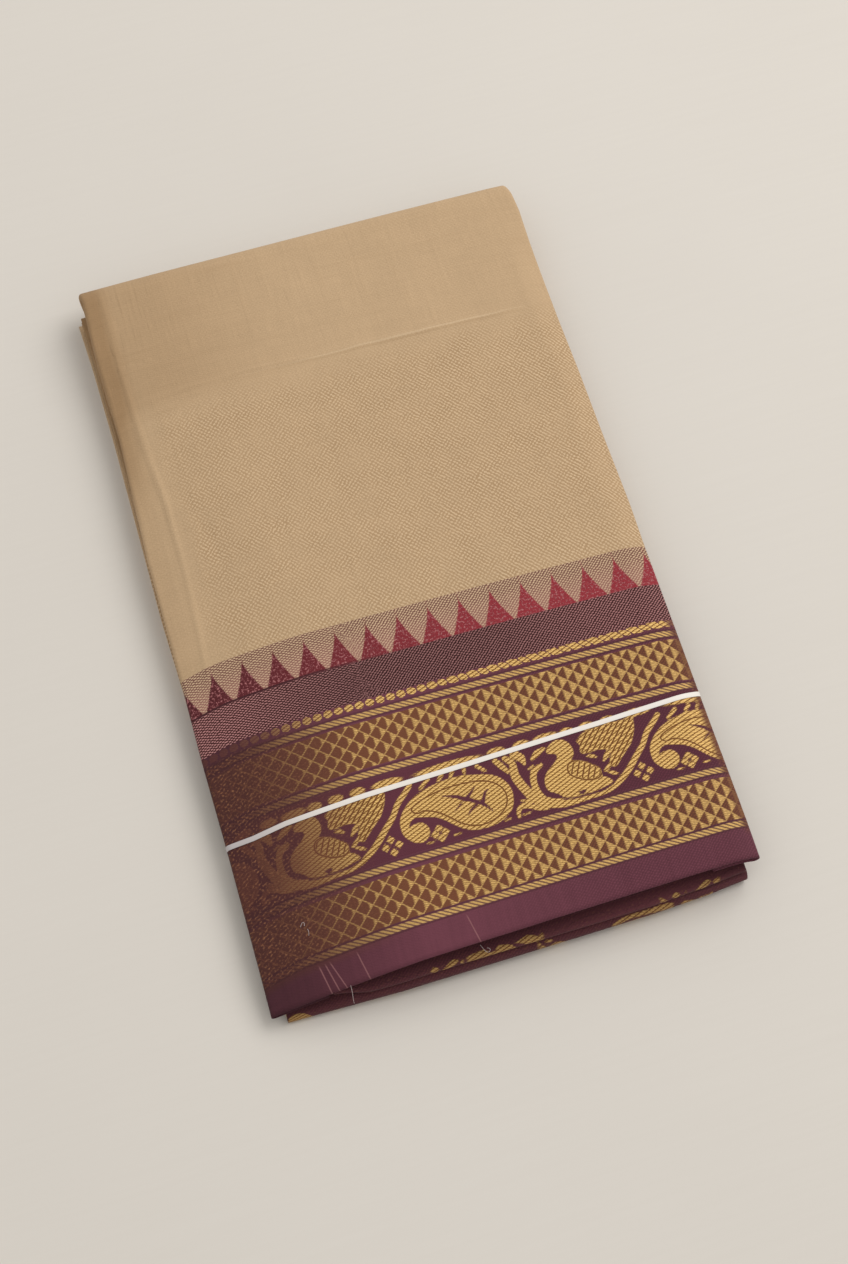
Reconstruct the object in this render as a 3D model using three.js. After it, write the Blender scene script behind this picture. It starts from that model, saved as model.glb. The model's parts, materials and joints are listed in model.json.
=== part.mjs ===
// A cotton saree folded into a flat pack and tied with a thin band.
// Millimetres, +Z up, resting on z = 0. +X runs along the border, and +Y runs from the
// open selvedge at the front of the pack to the fold at its back.
//
// The cloth is folded in three across its width and many times along its length. The
// stretches that show are walls of their own: the leaf on top, with its border and the
// fold at the back, the thin fold under its front edge, and the leaf that lies on the
// table and turns up round the lower bundle. The layers hidden between them share two
// rounded stacks, one for each bundle.

import * as THREE from 'three'
import { mergeVertices } from 'three/addons/utils/BufferGeometryUtils.js'

// ---------------------------------------------------------------- driving dimensions

const WIDTH = 222 // across the pack, along the border
const LENGTH = 380 // a third of the saree's 1.15 m width, with its fold
const HEIGHT = 22 // of the pack at its crown, without the band
const SKEW = 0.051 // how far the pack leans to +X for each millimetre of +Y
const WALL = 1.2 // thickness of a cloth wall
const GAP = 0.3 // between neighbouring pieces
const STACK_GAP = 0.8 // between a stack of hidden layers and the walls round it

const LEFT_TURN = 1.2 // radius of the top leaf's turned left edge
const RIGHT_TURN = 1.5 // and of its right edge
const LEFT_RETURN = 24 // how far the turned ply runs back under the leaf
const RIGHT_RETURN = 20
const TUCKED_RETURN = 3 // the same, on the stretch under the upper bundle
const BACK_FOLD = 9 // reach of the fold at the back, from its start to its crown
const UNDER_REACH = 60 // how far the top leaf runs in under the upper bundle
const FRONT_EDGE = 189.5 // the selvedge, measured from the middle of the length

const LOWER_SHARE = 0.42 // share of the pack's height that the lower bundle takes
const MIDDLE_TURN = 0.9 // radius of the thin fold between the bundles
const MIDDLE_REACH = 55 // how far its two plies run in
const MIDDLE_LEFT = 84 // its ends, measured from the middle of the width
const MIDDLE_RIGHT = 104
const RETURN_REACH = 60 // how far the bottom leaf runs back over its own bundle
const UNDER_RIGHT = 105 // the bottom leaf's right edge
const UNDER_BACK = 182 // its open edge at the back

const BAND_WIDTH = 2.4
const BAND_THICKNESS = 0.6
const BAND_CLEARANCE = 0.45 // from the cloth that it ties
const BAND_Y = -110.9 // where it crosses the middle of the pack
const BAND_TILT = 0.02 // its slant over the border
const BAND_RISE = 0.2 // its underside above the table
const CHANNEL_LIFT = 1.3 // the cloth's hollow for it, underneath
const CHANNEL_HALF = 3.5
const CHANNEL_SLOPE = 7

// The leaf's edges, measured from the middle of the width, at each distance from the
// front of the pack.
const OUTLINE = [
  { from: 0, left: 111.5, right: 110.2 },
  { from: 78, left: 111.6, right: 110.4 },
  { from: 122, left: 112.2, right: 110.7 },
  { from: 163, left: 112, right: 110.9 },
  { from: 185, left: 112.2, right: 111.5 },
  { from: 226, left: 112.5, right: 111.1 },
  { from: 262, left: 111.5, right: 111.1 },
  { from: 292, left: 110.6, right: 110.6 },
  { from: 342, left: 111.5, right: 110.4 },
  { from: 361, left: 111, right: 110.8 },
  { from: 372, left: 110.7, right: 110 },
  { from: 380, left: 111.8, right: 108.8 },
]

// The lower bundle's left edge and the line of its front fold.
const LOWER_LEFT = [
  { from: 0, edge: 105.4 },
  { from: 60, edge: 107.6 },
  { from: 160, edge: 112 },
  { from: 200, edge: 113.2 },
  { from: 300, edge: 113.2 },
  { from: 345, edge: 113.9 },
  { from: 372, edge: 115 },
]
const FRONT_FOLD = [
  { across: -110, reach: 192 },
  { across: -86, reach: 193.2 },
  { across: -55, reach: 194.8 },
  { across: 10, reach: 195.4 },
  { across: 60, reach: 195.8 },
  { across: 86, reach: 195 },
  { across: 110, reach: 193 },
]

// ---------------------------------------------------------------- small helpers

const { clamp, lerp, smoothstep } = THREE.MathUtils

// The value of a table's column at a place, straight between its rows.
function read(table, key, column, place) {
  const last = table.length - 1
  if (place <= table[0][key]) return table[0][column]
  if (place >= table[last][key]) return table[last][column]
  const next = table.findIndex((row) => row[key] >= place)
  const low = table[next - 1]
  const high = table[next]
  return lerp(low[column], high[column], (place - low[key]) / (high[key] - low[key]))
}

const fromFront = (y) => y + LENGTH / 2

function steps(from, to, count) {
  return Array.from({ length: count + 1 }, (_, i) => lerp(from, to, i / count))
}

// ---------------------------------------------------------------- the pack's form

// Middle of the top leaf's wall above the table: a low crown that falls away towards
// the left edge, rounds over at the right one, dips to the front, and is level where the
// leaf folds over at the back.
function topHeight(x, y) {
  const along = clamp(fromFront(y) / LENGTH, 0, 1)
  const back = smoothstep(fromFront(y), 316, 376)
  const slope = lerp(70, 42, along)
  const left = clamp((slope - WIDTH / 2 - x) / slope, 0, 1)
  const leftFall = lerp(12, 4.8, along) * left ** 1.4 * (1 - 0.85 * back)
  const crown = 2.2 * (clamp(x - 20, 0, 90) / 89) ** 2 * (1 - 0.6 * back) + back
  const rightFall = 3.6 * (clamp(x - 98, 0, 13) / 13) ** 2 * (1 - 0.85 * back)
  const frontFall = lerp(2.6, 1.2, smoothstep(x, 20, 109)) *
    clamp((30 - fromFront(y)) / 30, 0, 1) ** 2
  return HEIGHT - WALL / 2 - leftFall - crown - rightFall - frontFall
}

// Top of the lower bundle.
function lowerTop(x, y) {
  return LOWER_SHARE * (topHeight(x, y) + WALL / 2)
}

// How far the cloth is lifted off the table by the hollow for the band.
function channel(x, y) {
  const off = Math.abs(y - BAND_Y - BAND_TILT * x)
  return CHANNEL_LIFT * (1 - smoothstep(off, CHANNEL_HALF, CHANNEL_HALF + CHANNEL_SLOPE))
}

function lean(x, y, z) {
  return new THREE.Vector3(x + SKEW * y, y, z)
}

// ---------------------------------------------------------------- solids from bent slabs

// A slab with a grid of cells, each corner of the grid moved to where place puts it.
function bend(across, along, through, place) {
  const box = new THREE.BoxGeometry(1, 1, 1, across, along, through)
  const corners = box.attributes.position
  for (let i = 0; i < corners.count; i++) {
    const u = Math.round((corners.getX(i) + 0.5) * across)
    const v = Math.round((corners.getY(i) + 0.5) * along)
    const w = Math.round((corners.getZ(i) + 0.5) * through)
    const point = place(u, v, w)
    corners.setXYZ(i, point.x, point.y, point.z)
  }
  box.deleteAttribute('uv')
  box.deleteAttribute('normal')
  const solid = mergeVertices(box, 1e-4)
  solid.computeVertexNormals()
  return solid
}

// A cloth wall through a grid of points, half its thickness to each side of them.
function wall(rows) {
  const across = rows[0].length - 1
  const along = rows.length - 1
  const normal = (u, v) => {
    const uTangent = rows[v][Math.min(u + 1, across)].clone()
      .sub(rows[v][Math.max(u - 1, 0)])
    const vTangent = rows[Math.min(v + 1, along)][u].clone()
      .sub(rows[Math.max(v - 1, 0)][u])
    return uTangent.cross(vTangent).normalize()
  }
  return bend(across, along, 1, (u, v, side) =>
    rows[v][u].clone().addScaledVector(normal(u, v), (side - 0.5) * WALL))
}

function piece(name, geometry, material) {
  const mesh = new THREE.Mesh(geometry, material)
  mesh.name = name
  return mesh
}

// ---------------------------------------------------------------- the leaf on top

// One line across the leaf at a place along it: the turned ply at the left, the turn,
// the leaf, the right turn and its ply. Depth is how far a point lies in from the leaf.
function leafLine(y, tuck) {
  const left = -read(OUTLINE, 'from', 'left', fromFront(y))
  const right = read(OUTLINE, 'from', 'right', fromFront(y))
  const leftReturn = lerp(LEFT_RETURN, TUCKED_RETURN, tuck)
  const rightReturn = lerp(RIGHT_RETURN, TUCKED_RETURN, tuck)
  const leftStart = left + LEFT_TURN
  const rightStart = right - RIGHT_TURN
  const turn = steps(0, Math.PI, 6)
  return [
    ...steps(leftStart + leftReturn, leftStart, 3).slice(0, -1)
      .map((x) => ({ x, depth: 2 * LEFT_TURN, over: x })),
    ...turn.toReversed().map((angle) => ({
      x: leftStart - LEFT_TURN * Math.sin(angle),
      depth: LEFT_TURN * (1 - Math.cos(angle)),
      over: leftStart,
    })),
    ...steps(leftStart, rightStart, 20).slice(1, -1)
      .map((x) => ({ x, depth: 0, over: x })),
    ...turn.map((angle) => ({
      x: rightStart + RIGHT_TURN * Math.sin(angle),
      depth: RIGHT_TURN * (1 - Math.cos(angle)),
      over: rightStart,
    })),
    ...steps(rightStart, rightStart - rightReturn, 4).slice(1)
      .map((x) => ({ x, depth: 2 * RIGHT_TURN, over: x })),
  ]
}

function topLeaf() {
  const foldStart = LENGTH / 2 - BACK_FOLD - WALL / 2
  const tuckedHeight = (x, y) => lowerTop(x, y) + GAP + WALL / 2
  const stations = [0, 6, 13, 22, 32, 46, 66, 92, 122, 156, 190, 226, 262, 292, 316, 332, 346, 359]
    .map((from) => from - FRONT_EDGE)
  const rows = [...stations, foldStart].map((y) => leafLine(y, 0)
    .map(({ x, depth, over }) => lean(x, y, topHeight(over, y) - depth)))
  for (const turn of steps(0, Math.PI, 8).slice(1)) {
    const crown = foldStart + BACK_FOLD * Math.sin(turn)
    rows.push(leafLine(crown, turn / Math.PI).map(({ x, depth, over }) => {
      const high = topHeight(over, foldStart)
      const low = tuckedHeight(over, foldStart)
      const rise = (high - low) / 2 - depth
      const reach = (BACK_FOLD - depth) * Math.sin(turn)
      return lean(x, foldStart + reach, (high + low) / 2 + rise * Math.cos(turn))
    }))
  }
  for (const y of steps(foldStart, foldStart - UNDER_REACH, 2).slice(1)) {
    rows.push(leafLine(y, 1)
      .map(({ x, depth, over }) => lean(x, y, tuckedHeight(over, y) + depth)))
  }
  return wall(rows)
}

// ---------------------------------------------------------------- the thin fold between

function middleFold() {
  const frontLine = (x) => read(FRONT_FOLD, 'across', 'reach', x) - 1.6
  const low = (x, y) => lowerTop(x, y) + 2 * GAP + WALL / 2
  const line = steps(-MIDDLE_LEFT, MIDDLE_RIGHT, 14)
  const row = (inward, lift, bulge) => line.map((x) => {
    const start = -frontLine(x) + MIDDLE_TURN + WALL / 2
    const y = start + inward - bulge
    return lean(x, y, low(x, start + inward) + lift)
  })
  return wall([
    ...steps(MIDDLE_REACH, 0, 3).slice(0, -1).map((inward) => row(inward, 0, 0)),
    ...steps(0, Math.PI, 6).map((turn) =>
      row(0, MIDDLE_TURN * (1 - Math.cos(turn)), MIDDLE_TURN * Math.sin(turn))),
    ...steps(0, MIDDLE_REACH, 3).slice(1).map((inward) => row(inward, 2 * MIDDLE_TURN, 0)),
  ].map((points) => points.toReversed()))
}

// ---------------------------------------------------------------- the leaf underneath

function underLeaf() {
  const floor = WALL / 2
  const high = (x, y) => lowerTop(x, y) - WALL / 2
  const edge = (y) => -read(LOWER_LEFT, 'from', 'edge', fromFront(y))
  const line = (y) => steps(edge(y), UNDER_RIGHT, 16)
  const foldLine = (x) => {
    const radius = (high(x, -FRONT_EDGE) - floor) / 2
    return { radius, start: radius + WALL / 2 - read(FRONT_FOLD, 'across', 'reach', x) }
  }
  const bottom = [UNDER_BACK, 120, 50, -20, -70, -92, -101.5, -106, -109, -114, -117,
    -121.5, -131, -150, -172]
  const overBottom = (y) => line(y).map((x) => {
    const slanted = y + BAND_TILT * x * smoothstep(60 - Math.abs(y - BAND_Y), 0, 30)
    return lean(x, slanted, floor + channel(x, slanted))
  })
  const round = (turn) => line(-FRONT_EDGE).map((x) => {
    const { radius, start } = foldLine(x)
    const z = floor + radius * (1 - Math.cos(turn))
    return lean(x, start - radius * Math.sin(turn), z)
  })
  const back = (inward) => line(-FRONT_EDGE + inward).map((x) => {
    const y = foldLine(x).start + inward
    return lean(x, y, lerp(high(x, -FRONT_EDGE), high(x, y), clamp(inward / 15, 0, 1)))
  })
  return wall([
    ...bottom.map(overBottom),
    ...steps(0, Math.PI, 8).map(round),
    ...steps(0, RETURN_REACH, 4).slice(1).map(back),
  ])
}

// ---------------------------------------------------------------- the hidden layers

// A stack of folded plies as one rounded solid. Its sides step in and out, a ridge for
// each group of plies and a groove between two. Insets are from the leaf over it.
function stack({ groups, groove, cells, left, right, front, back, low, high }) {
  const rings = 2 * groups
  return bend(cells.across, cells.along, rings, (u, v, w) => {
    const inset = groove * (w % 2 === 0 ? 1 : 0)
    const share = w / rings
    const t = v / cells.along
    const plain = lerp(front(0) + inset, back - inset, t)
    const first = left(plain, share) + inset
    const last = right(plain, share) - inset
    const x = lerp(first, last, u / cells.across)
    const y = lerp(front(x) + inset, back - inset, t)
    return lean(x, y, lerp(low(x, y), high(x, y), share))
  })
}

function upperFolds() {
  const leaf = (side, y) => read(OUTLINE, 'from', side, fromFront(y))
  return stack({
    groups: 3,
    groove: 1.6,
    cells: { across: 18, along: 14 },
    left: (y, share) => lerp(8, 15.5, share) - leaf('left', y),
    right: (y) => leaf('right', y) - 7,
    front: () => 9 - FRONT_EDGE,
    back: LENGTH / 2 - BACK_FOLD - WALL / 2 - 1,
    low: (x, y) => lowerTop(x, y) + GAP +
      (WALL + 2 * MIDDLE_TURN + GAP + STACK_GAP) * (1 - smoothstep(y, -125, -95)) +
      (WALL + STACK_GAP) * smoothstep(y, 80, 112),
    high: (x, y) => topHeight(x, y) - WALL / 2 - STACK_GAP -
      2 * LEFT_TURN * (1 - smoothstep(x, -72, -60)) -
      2 * RIGHT_TURN * smoothstep(x, 62, 77),
  })
}

function lowerFolds() {
  const edge = (y) => read(LOWER_LEFT, 'from', 'edge', fromFront(y))
  const under = (x, y) => WALL + STACK_GAP +
    CHANNEL_LIFT * (1 - smoothstep(Math.abs(y - BAND_Y), 30, 55))
  return stack({
    groups: 2,
    groove: 1.2,
    cells: { across: 14, along: 16 },
    left: (y) => lerp(20, 0.6, smoothstep(fromFront(y), 10, 130)) - edge(y),
    right: () => UNDER_RIGHT - 0.6,
    front: (x) => 6.5 - read(FRONT_FOLD, 'across', 'reach', x),
    back: UNDER_BACK - 0.5,
    low: under,
    high: (x, y) => lowerTop(x, y) - GAP -
      (WALL + STACK_GAP) * (1 - smoothstep(y, -115, -85)),
  })
}

// ---------------------------------------------------------------- the band

// The convex outline of a set of points in the plane of the band, anticlockwise.
function hull(points) {
  const sorted = [...points].sort((a, b) => a.x - b.x || a.y - b.y)
  const half = (list) => {
    const chain = []
    for (const point of list) {
      while (chain.length > 1) {
        const [a, b] = chain.slice(-2)
        if ((b.x - a.x) * (point.y - a.y) - (b.y - a.y) * (point.x - a.x) > 0) break
        chain.pop()
      }
      chain.push(point)
    }
    return chain.slice(0, -1)
  }
  return [...half(sorted), ...half(sorted.toReversed())]
}

// The outline of the pack where the band crosses it, pushed out by an offset.
function packOutline(offset) {
  const bandY = (x) => BAND_Y + BAND_TILT * x
  const rim = []
  for (const { x, depth, over } of leafLine(BAND_Y, 0)) {
    rim.push(new THREE.Vector2(x + SKEW * bandY(x), topHeight(over, bandY(x)) - depth))
  }
  const left = -read(LOWER_LEFT, 'from', 'edge', fromFront(BAND_Y))
  for (const x of [left, UNDER_RIGHT]) {
    const floor = BAND_RISE + BAND_THICKNESS + BAND_CLEARANCE + WALL / 2
    rim.push(new THREE.Vector2(x + SKEW * bandY(x), floor))
  }
  const around = steps(0, 2 * Math.PI, 12).slice(0, -1)
  return hull(rim.flatMap((point) => around.map((angle) => new THREE.Vector2(
    point.x + (WALL / 2 + offset) * Math.cos(angle),
    point.y + (WALL / 2 + offset) * Math.sin(angle),
  ))))
}

function tieBand() {
  const shape = new THREE.Shape(packOutline(BAND_CLEARANCE + BAND_THICKNESS))
  shape.holes.push(new THREE.Path(packOutline(BAND_CLEARANCE)))
  const ring = new THREE.ExtrudeGeometry(shape, {
    depth: BAND_WIDTH,
    bevelEnabled: false,
  })
  ring.rotateX(Math.PI / 2)
  ring.translate(0, BAND_WIDTH / 2, 0)
  return ring
}

// ---------------------------------------------------------------- materials and scene

function cloth(colour, roughness = 0.85) {
  return new THREE.MeshStandardMaterial({ color: colour, roughness, metalness: 0 })
}

const saree = new THREE.Group()
saree.add(piece('top_leaf', topLeaf(), cloth(0xc0a37a)))
saree.add(piece('middle_fold', middleFold(), cloth(0x5a3240)))
saree.add(piece('under_leaf', underLeaf(), cloth(0x6a3c46)))
saree.add(piece('upper_folds', upperFolds(), cloth(0xb89a72)))
saree.add(piece('lower_folds', lowerFolds(), cloth(0xa98c66)))

const band = piece('tie_band', tieBand(), cloth(0xf2efec, 0.45))
band.rotation.z = Math.atan(BAND_TILT)
band.position.y = BAND_Y
saree.add(band)

// The origin lies on the table under the middle of the pack's box.
const middle = new THREE.Box3().setFromObject(saree).getCenter(new THREE.Vector3())
saree.position.set(-middle.x, -middle.y, 0)

export default saree
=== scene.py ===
import functools
import json
import math

import bmesh
import bpy
import numpy as np
from mathutils import Matrix, Vector


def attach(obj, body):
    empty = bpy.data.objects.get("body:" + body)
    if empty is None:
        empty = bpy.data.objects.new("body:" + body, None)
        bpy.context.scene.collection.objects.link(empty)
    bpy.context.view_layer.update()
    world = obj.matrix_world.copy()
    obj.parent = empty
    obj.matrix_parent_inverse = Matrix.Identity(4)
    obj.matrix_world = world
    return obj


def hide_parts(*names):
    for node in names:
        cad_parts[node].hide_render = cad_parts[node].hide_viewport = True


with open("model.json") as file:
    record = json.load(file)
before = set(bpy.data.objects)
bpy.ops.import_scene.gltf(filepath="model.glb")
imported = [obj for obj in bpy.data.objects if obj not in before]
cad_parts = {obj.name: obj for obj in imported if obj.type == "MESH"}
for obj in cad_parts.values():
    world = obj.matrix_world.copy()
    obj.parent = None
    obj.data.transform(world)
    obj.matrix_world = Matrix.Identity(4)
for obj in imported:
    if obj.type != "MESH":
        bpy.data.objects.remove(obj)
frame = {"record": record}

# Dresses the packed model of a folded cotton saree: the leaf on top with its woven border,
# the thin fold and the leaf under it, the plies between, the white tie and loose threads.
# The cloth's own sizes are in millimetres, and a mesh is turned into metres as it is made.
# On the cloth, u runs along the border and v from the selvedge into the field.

bl_info = {
    "name": "Folded cotton saree",
    "version": (1, 0, 0),
    "blender": (4, 5, 0),
    "location": "View3D > Sidebar > Saree",
    "description": "Dresses the packed model of a folded cotton saree in woven cloth",
    "category": "Object",
}

MM = 0.001
BODY = "root"

# ---------------------------------------------------------------- sizes of the folded pack

WIDTH = 222  # across the pack, along the border
LENGTH = 380
HEIGHT = 22  # at the pack's crown
SKEW = 0.051  # how far the pack leans to +X for each millimetre of +Y
WALL = 1.2  # the packed walls, which the cloth's outer face follows
GAP = 0.3  # between two leaves or folds
STACK_GAP = 0.8  # between a bundle of plies and the cloth round it
LEFT_TURN = 1.2  # radius of the top leaf's left edge, where it turns under
RIGHT_TURN = 1.5
LEFT_RETURN = 24  # how far the turned edge runs back under the leaf
RIGHT_RETURN = 20
TUCKED_RETURN = 3  # the same where the leaf is tucked in behind
BACK_FOLD = 9  # how far the fold at the back bulges
UNDER_REACH = 60  # how far the top leaf runs in under the upper bundle
FRONT_EDGE = 189.5  # the selvedge, from the middle of the length
LOWER_SHARE = 0.42  # height of the lower bundle, as a share of the pack's
MIDDLE_TURN = 0.9  # radius of the thin fold between the bundles
MIDDLE_REACH = 55
MIDDLE_LEFT = 84
MIDDLE_RIGHT = 104
RETURN_REACH = 60  # how far the leaf underneath runs back over the lower bundle
UNDER_RIGHT = 105
UNDER_BACK = 182
FLOOR_LIFT = WALL / 2
BAND_Y = -110.9  # the tie on the table, at the middle of the width
BAND_TILT = 0.02
CHANNEL_LIFT = 1.3  # the hollow that the tie leaves under the pack
CHANNEL_HALF = 3.5
CHANNEL_SLOPE = 7

# Edges of the pack and its parts, as tables: the first row holds the places, and the others
# how far out the edge is there.
OUTLINE = {
    "from_front": (0, 78, 122, 163, 185, 226, 262, 292, 342, 361, 372, 380),
    "left": (111.5, 111.6, 112.2, 112, 112.2, 112.5, 111.5, 110.6, 111.5, 111, 110.7, 111.8),
    "right": (110.2, 110.4, 110.7, 110.9, 111.5, 111.1, 111.1, 110.6, 110.4, 110.8, 110,
              108.8),
}
LOWER_LEFT = {
    "from_front": (0, 60, 160, 200, 300, 345, 372),
    "edge": (105.4, 107.6, 112, 113.2, 113.2, 113.9, 115),
}
FRONT_FOLD = {
    "across": (-110, -86, -55, 10, 60, 86, 110),
    "reach": (192, 193.2, 194.8, 195.4, 195.8, 195, 193),
}
TIE_PATH = {
    "across": (-110, -100, -85, -60, 0, 60, 110),
    "from_selvedge": (78, 77.8, 78.9, 78.6, 79, 79.8, 81.4),
}

# Creases: the height of the ridge, or depth of the trough where it is below nothing, its
# half width, and its path of places (across, from the front edge). First the top leaf's.
CREASES = (
    (1.05, 1.15, ((-102.6, 370), (-102, 328), (-101, 287), (-98.1, 252), (-97.8, 213),
                  (-99.5, 176), (-101, 150))),
    (0.85, 1.2, ((-100, 307.5), (-44, 307), (21, 304.8), (46, 303.8), (104, 302.4))),
    (0.6, 1.6, ((-102.5, 372), (-99.9, 344), (-69.8, 350), (-52, 351))),
    (-0.5, 2.2, ((-100, 318), (-60, 322), (-22, 319), (8, 321))),
    (0.45, 1.8, ((-88, 334), (-40, 338), (-12, 336))),
    (-0.5, 2.6, ((10, 345), (52, 348), (92, 343))),
    (0.4, 1.8, ((-30, 358), (34, 361), (70, 357))),
    (0.4, 2, ((-6, 312), (40, 316), (88, 310))),
    (-0.4, 3.2, ((-97, 262), (-84, 240), (-80, 205))),
    (-0.2, 1.4, ((-94, 226), (-62, 224), (-38, 227))),
    (0.18, 1.1, ((-90, 212), (-66, 209), (-48, 210))),
    (-0.3, 4.5, ((58, 255), (73, 226), (80, 190))),
    (0.25, 2.6, ((98, 330), (101, 262), (99, 196))),
    (-0.3, 2.2, ((-104, 120), (-99, 88), (-100, 40))),
    (0.35, 4, ((30, 10), (62, 14), (96, 9))),
    (-0.3, 3.5, ((-80, 6), (-44, 10), (-8, 5))),
    (-0.7, 3, ((-106, 262), (-97, 278), (-90, 281))),
    (0.3, 1.6, ((-26, -3), (-24, 6), (-21, 13))),
    (0.35, 1.8, ((16, -3), (14, 5), (12, 12))),
    (-0.35, 1.8, ((47, -3), (49, 6), (48, 14))),
    (0.3, 1.7, ((71, -3), (70, 6), (73, 13))),
    (-0.3, 1.6, ((92, -3), (90, 5), (92, 12))),
)
UNDER_CREASES = (
    (0.35, 3, ((-90, 330), (-20, 322), (70, 331))),
    (0.25, 2.2, ((-70, 240), (10, 246), (92, 238))),
    (0.3, 2.6, ((-84, 160), (-60, 120), (-66, 90))),
)

# ---------------------------------------------------------------- sizes of the woven border

ROPES = (16.3, 43.4, 87.5, 115.3)  # the middle of each
ROPE_HALF = 1.35
ROPE_PITCH = 2.9
ROPE_SLANT = 1.67
LATTICES = ((18.7, 39.6), (90.5, 112.2))  # where each lattice starts and ends
BETWEEN_LATTICES = (60, 60.1)
LATTICE_CELL = (7.75, 7.3)
LATTICE_SHIFT = 0.375
FIGURES = (46, 85)
BEADS = 120.5  # the middle of the row
BEAD_HALF = 1.9  # half its height
BEAD_PAIR = 9.7  # from one pair to the next
BEAD_SHIFT = 0.6
MAUVE = (122.6, 141.5)
TEMPLE_BASE = 141.5
TEMPLE_TIP = 158.6
TEMPLE_TIP_U = 3.4
TEMPLE_HALF = 6.7
TEMPLE_END = 162.3
# The small dots of the weave, as waves: how many to a millimetre along u and v, and the
# share of each, in the beige field and in the border at its left and right.
FIELD_DOTS = ((0.47, 0.43, 0.52), (0.45, -0.44, 0.48))
LEFT_DOTS = ((0.42, 0.77, 0.5), (0.42, -0.77, 0.5))
RIGHT_DOTS = ((0.38, 0.73, 0.38), (0.59, -0.63, 0.62))
TWILL = (0.4, 1.75)  # rise and pitch of the dark lines between the gold threads
FLOAT = (-0.28, 0.86)  # the same of the short floats that cross them
OLD_FOLD_RIDGE = 304.6  # the ridge of an old fold, where the dots give way to plain cloth; a painted highlight and shade mark it
BORDER_TILT = 0.0165  # how far the border's upper lines fall for each millimetre across
TILT_START = 17  # along v: the tilt grows from nothing to the whole over the run
TILT_RUN = 99
TILT_REACH = 112  # across
DIP_START = -92  # along u: left of this, the border's lines dip over the run
DIP_RUN = 17
DIP = 2

GOLD_PART = (12, 118)  # where gold thread runs through the ground, all along v
FLECKED_PART = (15, 118)

# Thin light yarns of the selvedge: where each starts at the edge, and where it has got to
# at the end of its run. They fade out before that.
LIGHT_YARNS = ((-84.9, -87.6), (-81.6, -85), (-78.2, -83), (-67.9, -70.8), (-18.7, -21.7))
LIGHT_YARN_RUN = 14
LIGHT_YARN_END = (11, 13.5)


# ---------------------------------------------------------------- colours

def tone(red, green, blue):
    """A colour given as on a screen, from 0 to 255, as the linear one that Blender keeps."""
    return tuple(((c / 255 + 0.055) / 1.055) ** 2.4 if c > 10 else c / 3294.6
                 for c in (red, green, blue))


def colour(name, description, value):
    return bpy.props.FloatVectorProperty(
        name=name, description=description, subtype="COLOR", size=3,
        min=0, max=1, default=value)


class SareeYarns(bpy.types.PropertyGroup):
    """Colours of the yarns."""
    field: colour("Field", "Beige cotton of the saree's field", tone(217, 188, 151))
    # the darker yarn of the field's dots, also the colour of painted shade in the field
    field_shade: colour("Field shade", "Darker yarn of the field", tone(178, 146, 109))
    maroon: colour("Maroon", "Ground of the border", tone(112, 62, 74))
    plum: colour("Plum", "Ground behind the figures", tone(98, 50, 62))
    bronze: colour("Bronze", "Ground where gold thread runs through it", tone(120, 74, 46))
    maroon_dot: colour("Dark dots", "Darker yarn of the dotted band", tone(60, 26, 26))
    mauve: colour("Mauve", "Lighter yarn of the dotted band", tone(172, 121, 119))
    temple: colour("Temple", "Red of the temple points", tone(152, 50, 58))
    gold: colour("Gold", "Gold thread of the border", tone(246, 203, 126))
    gold_shade: colour("Gold shade", "Shaded gold thread", tone(118, 72, 18))
    tie: colour("Tie", "White strip round the pack", tone(242, 235, 226))


class SareeWeave(bpy.types.PropertyGroup):
    """Repeats of the border."""
    repeat: bpy.props.FloatProperty(
        name="Figure repeat", description="Length of one paisley and one bird",
        unit="LENGTH", min=0.08, max=0.2, default=0.1165)
    temple_pitch: bpy.props.FloatProperty(
        name="Temple pitch", description="From one temple point to the next",
        unit="LENGTH", min=0.008, max=0.03, default=0.0148)
    relief: bpy.props.FloatProperty(
        name="Relief", description="Height of the woven relief, 1 as made",
        min=0, max=3, default=1)


class SareeFolds(bpy.types.PropertyGroup):
    """The folded cloth."""
    thickness: bpy.props.FloatProperty(
        name="Cloth thickness", description="Thickness of a showing ply",
        unit="LENGTH", min=0.0002, max=0.001, default=0.0005)
    crease: bpy.props.FloatProperty(
        name="Creases", description="Height of the creases, 1 as made",
        min=0, max=2, default=1)
    upper_plies: bpy.props.IntProperty(
        name="Upper plies", description="Folded plies in the upper bundle",
        min=3, max=14, default=9)
    lower_plies: bpy.props.IntProperty(
        name="Lower plies", description="Folded plies in the lower bundle",
        min=2, max=10, default=6)


class SareeStage(bpy.types.PropertyGroup):
    """Floor, light and camera."""
    floor: colour("Floor", "Plain pale floor", tone(226, 220, 211))
    window: bpy.props.FloatProperty(
        name="Window light", description="Power of the large soft light", unit="POWER",
        min=0, max=200, default=43)
    sky: bpy.props.FloatProperty(
        name="Room light", description="Strength of the light from all round",
        min=0, max=3, default=0.62)


# ---------------------------------------------------------------- small helpers

def blend(first, second, share):
    return first + (second - first) * share


def smooth(value, low, high):
    share = np.clip((value - low) / (high - low), 0, 1)
    return share * share * (3 - 2 * share)


def read(table, place, row):
    """A table's values at a place, straight between its places, which come first in it."""
    return np.interp(place, table[next(iter(table))], table[row])


def from_front(y):
    return y + LENGTH / 2


def lean(x, y, z):
    x, y, z = np.broadcast_arrays(x, y, z)
    return np.stack([x + SKEW * y, y, z], -1)


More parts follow.
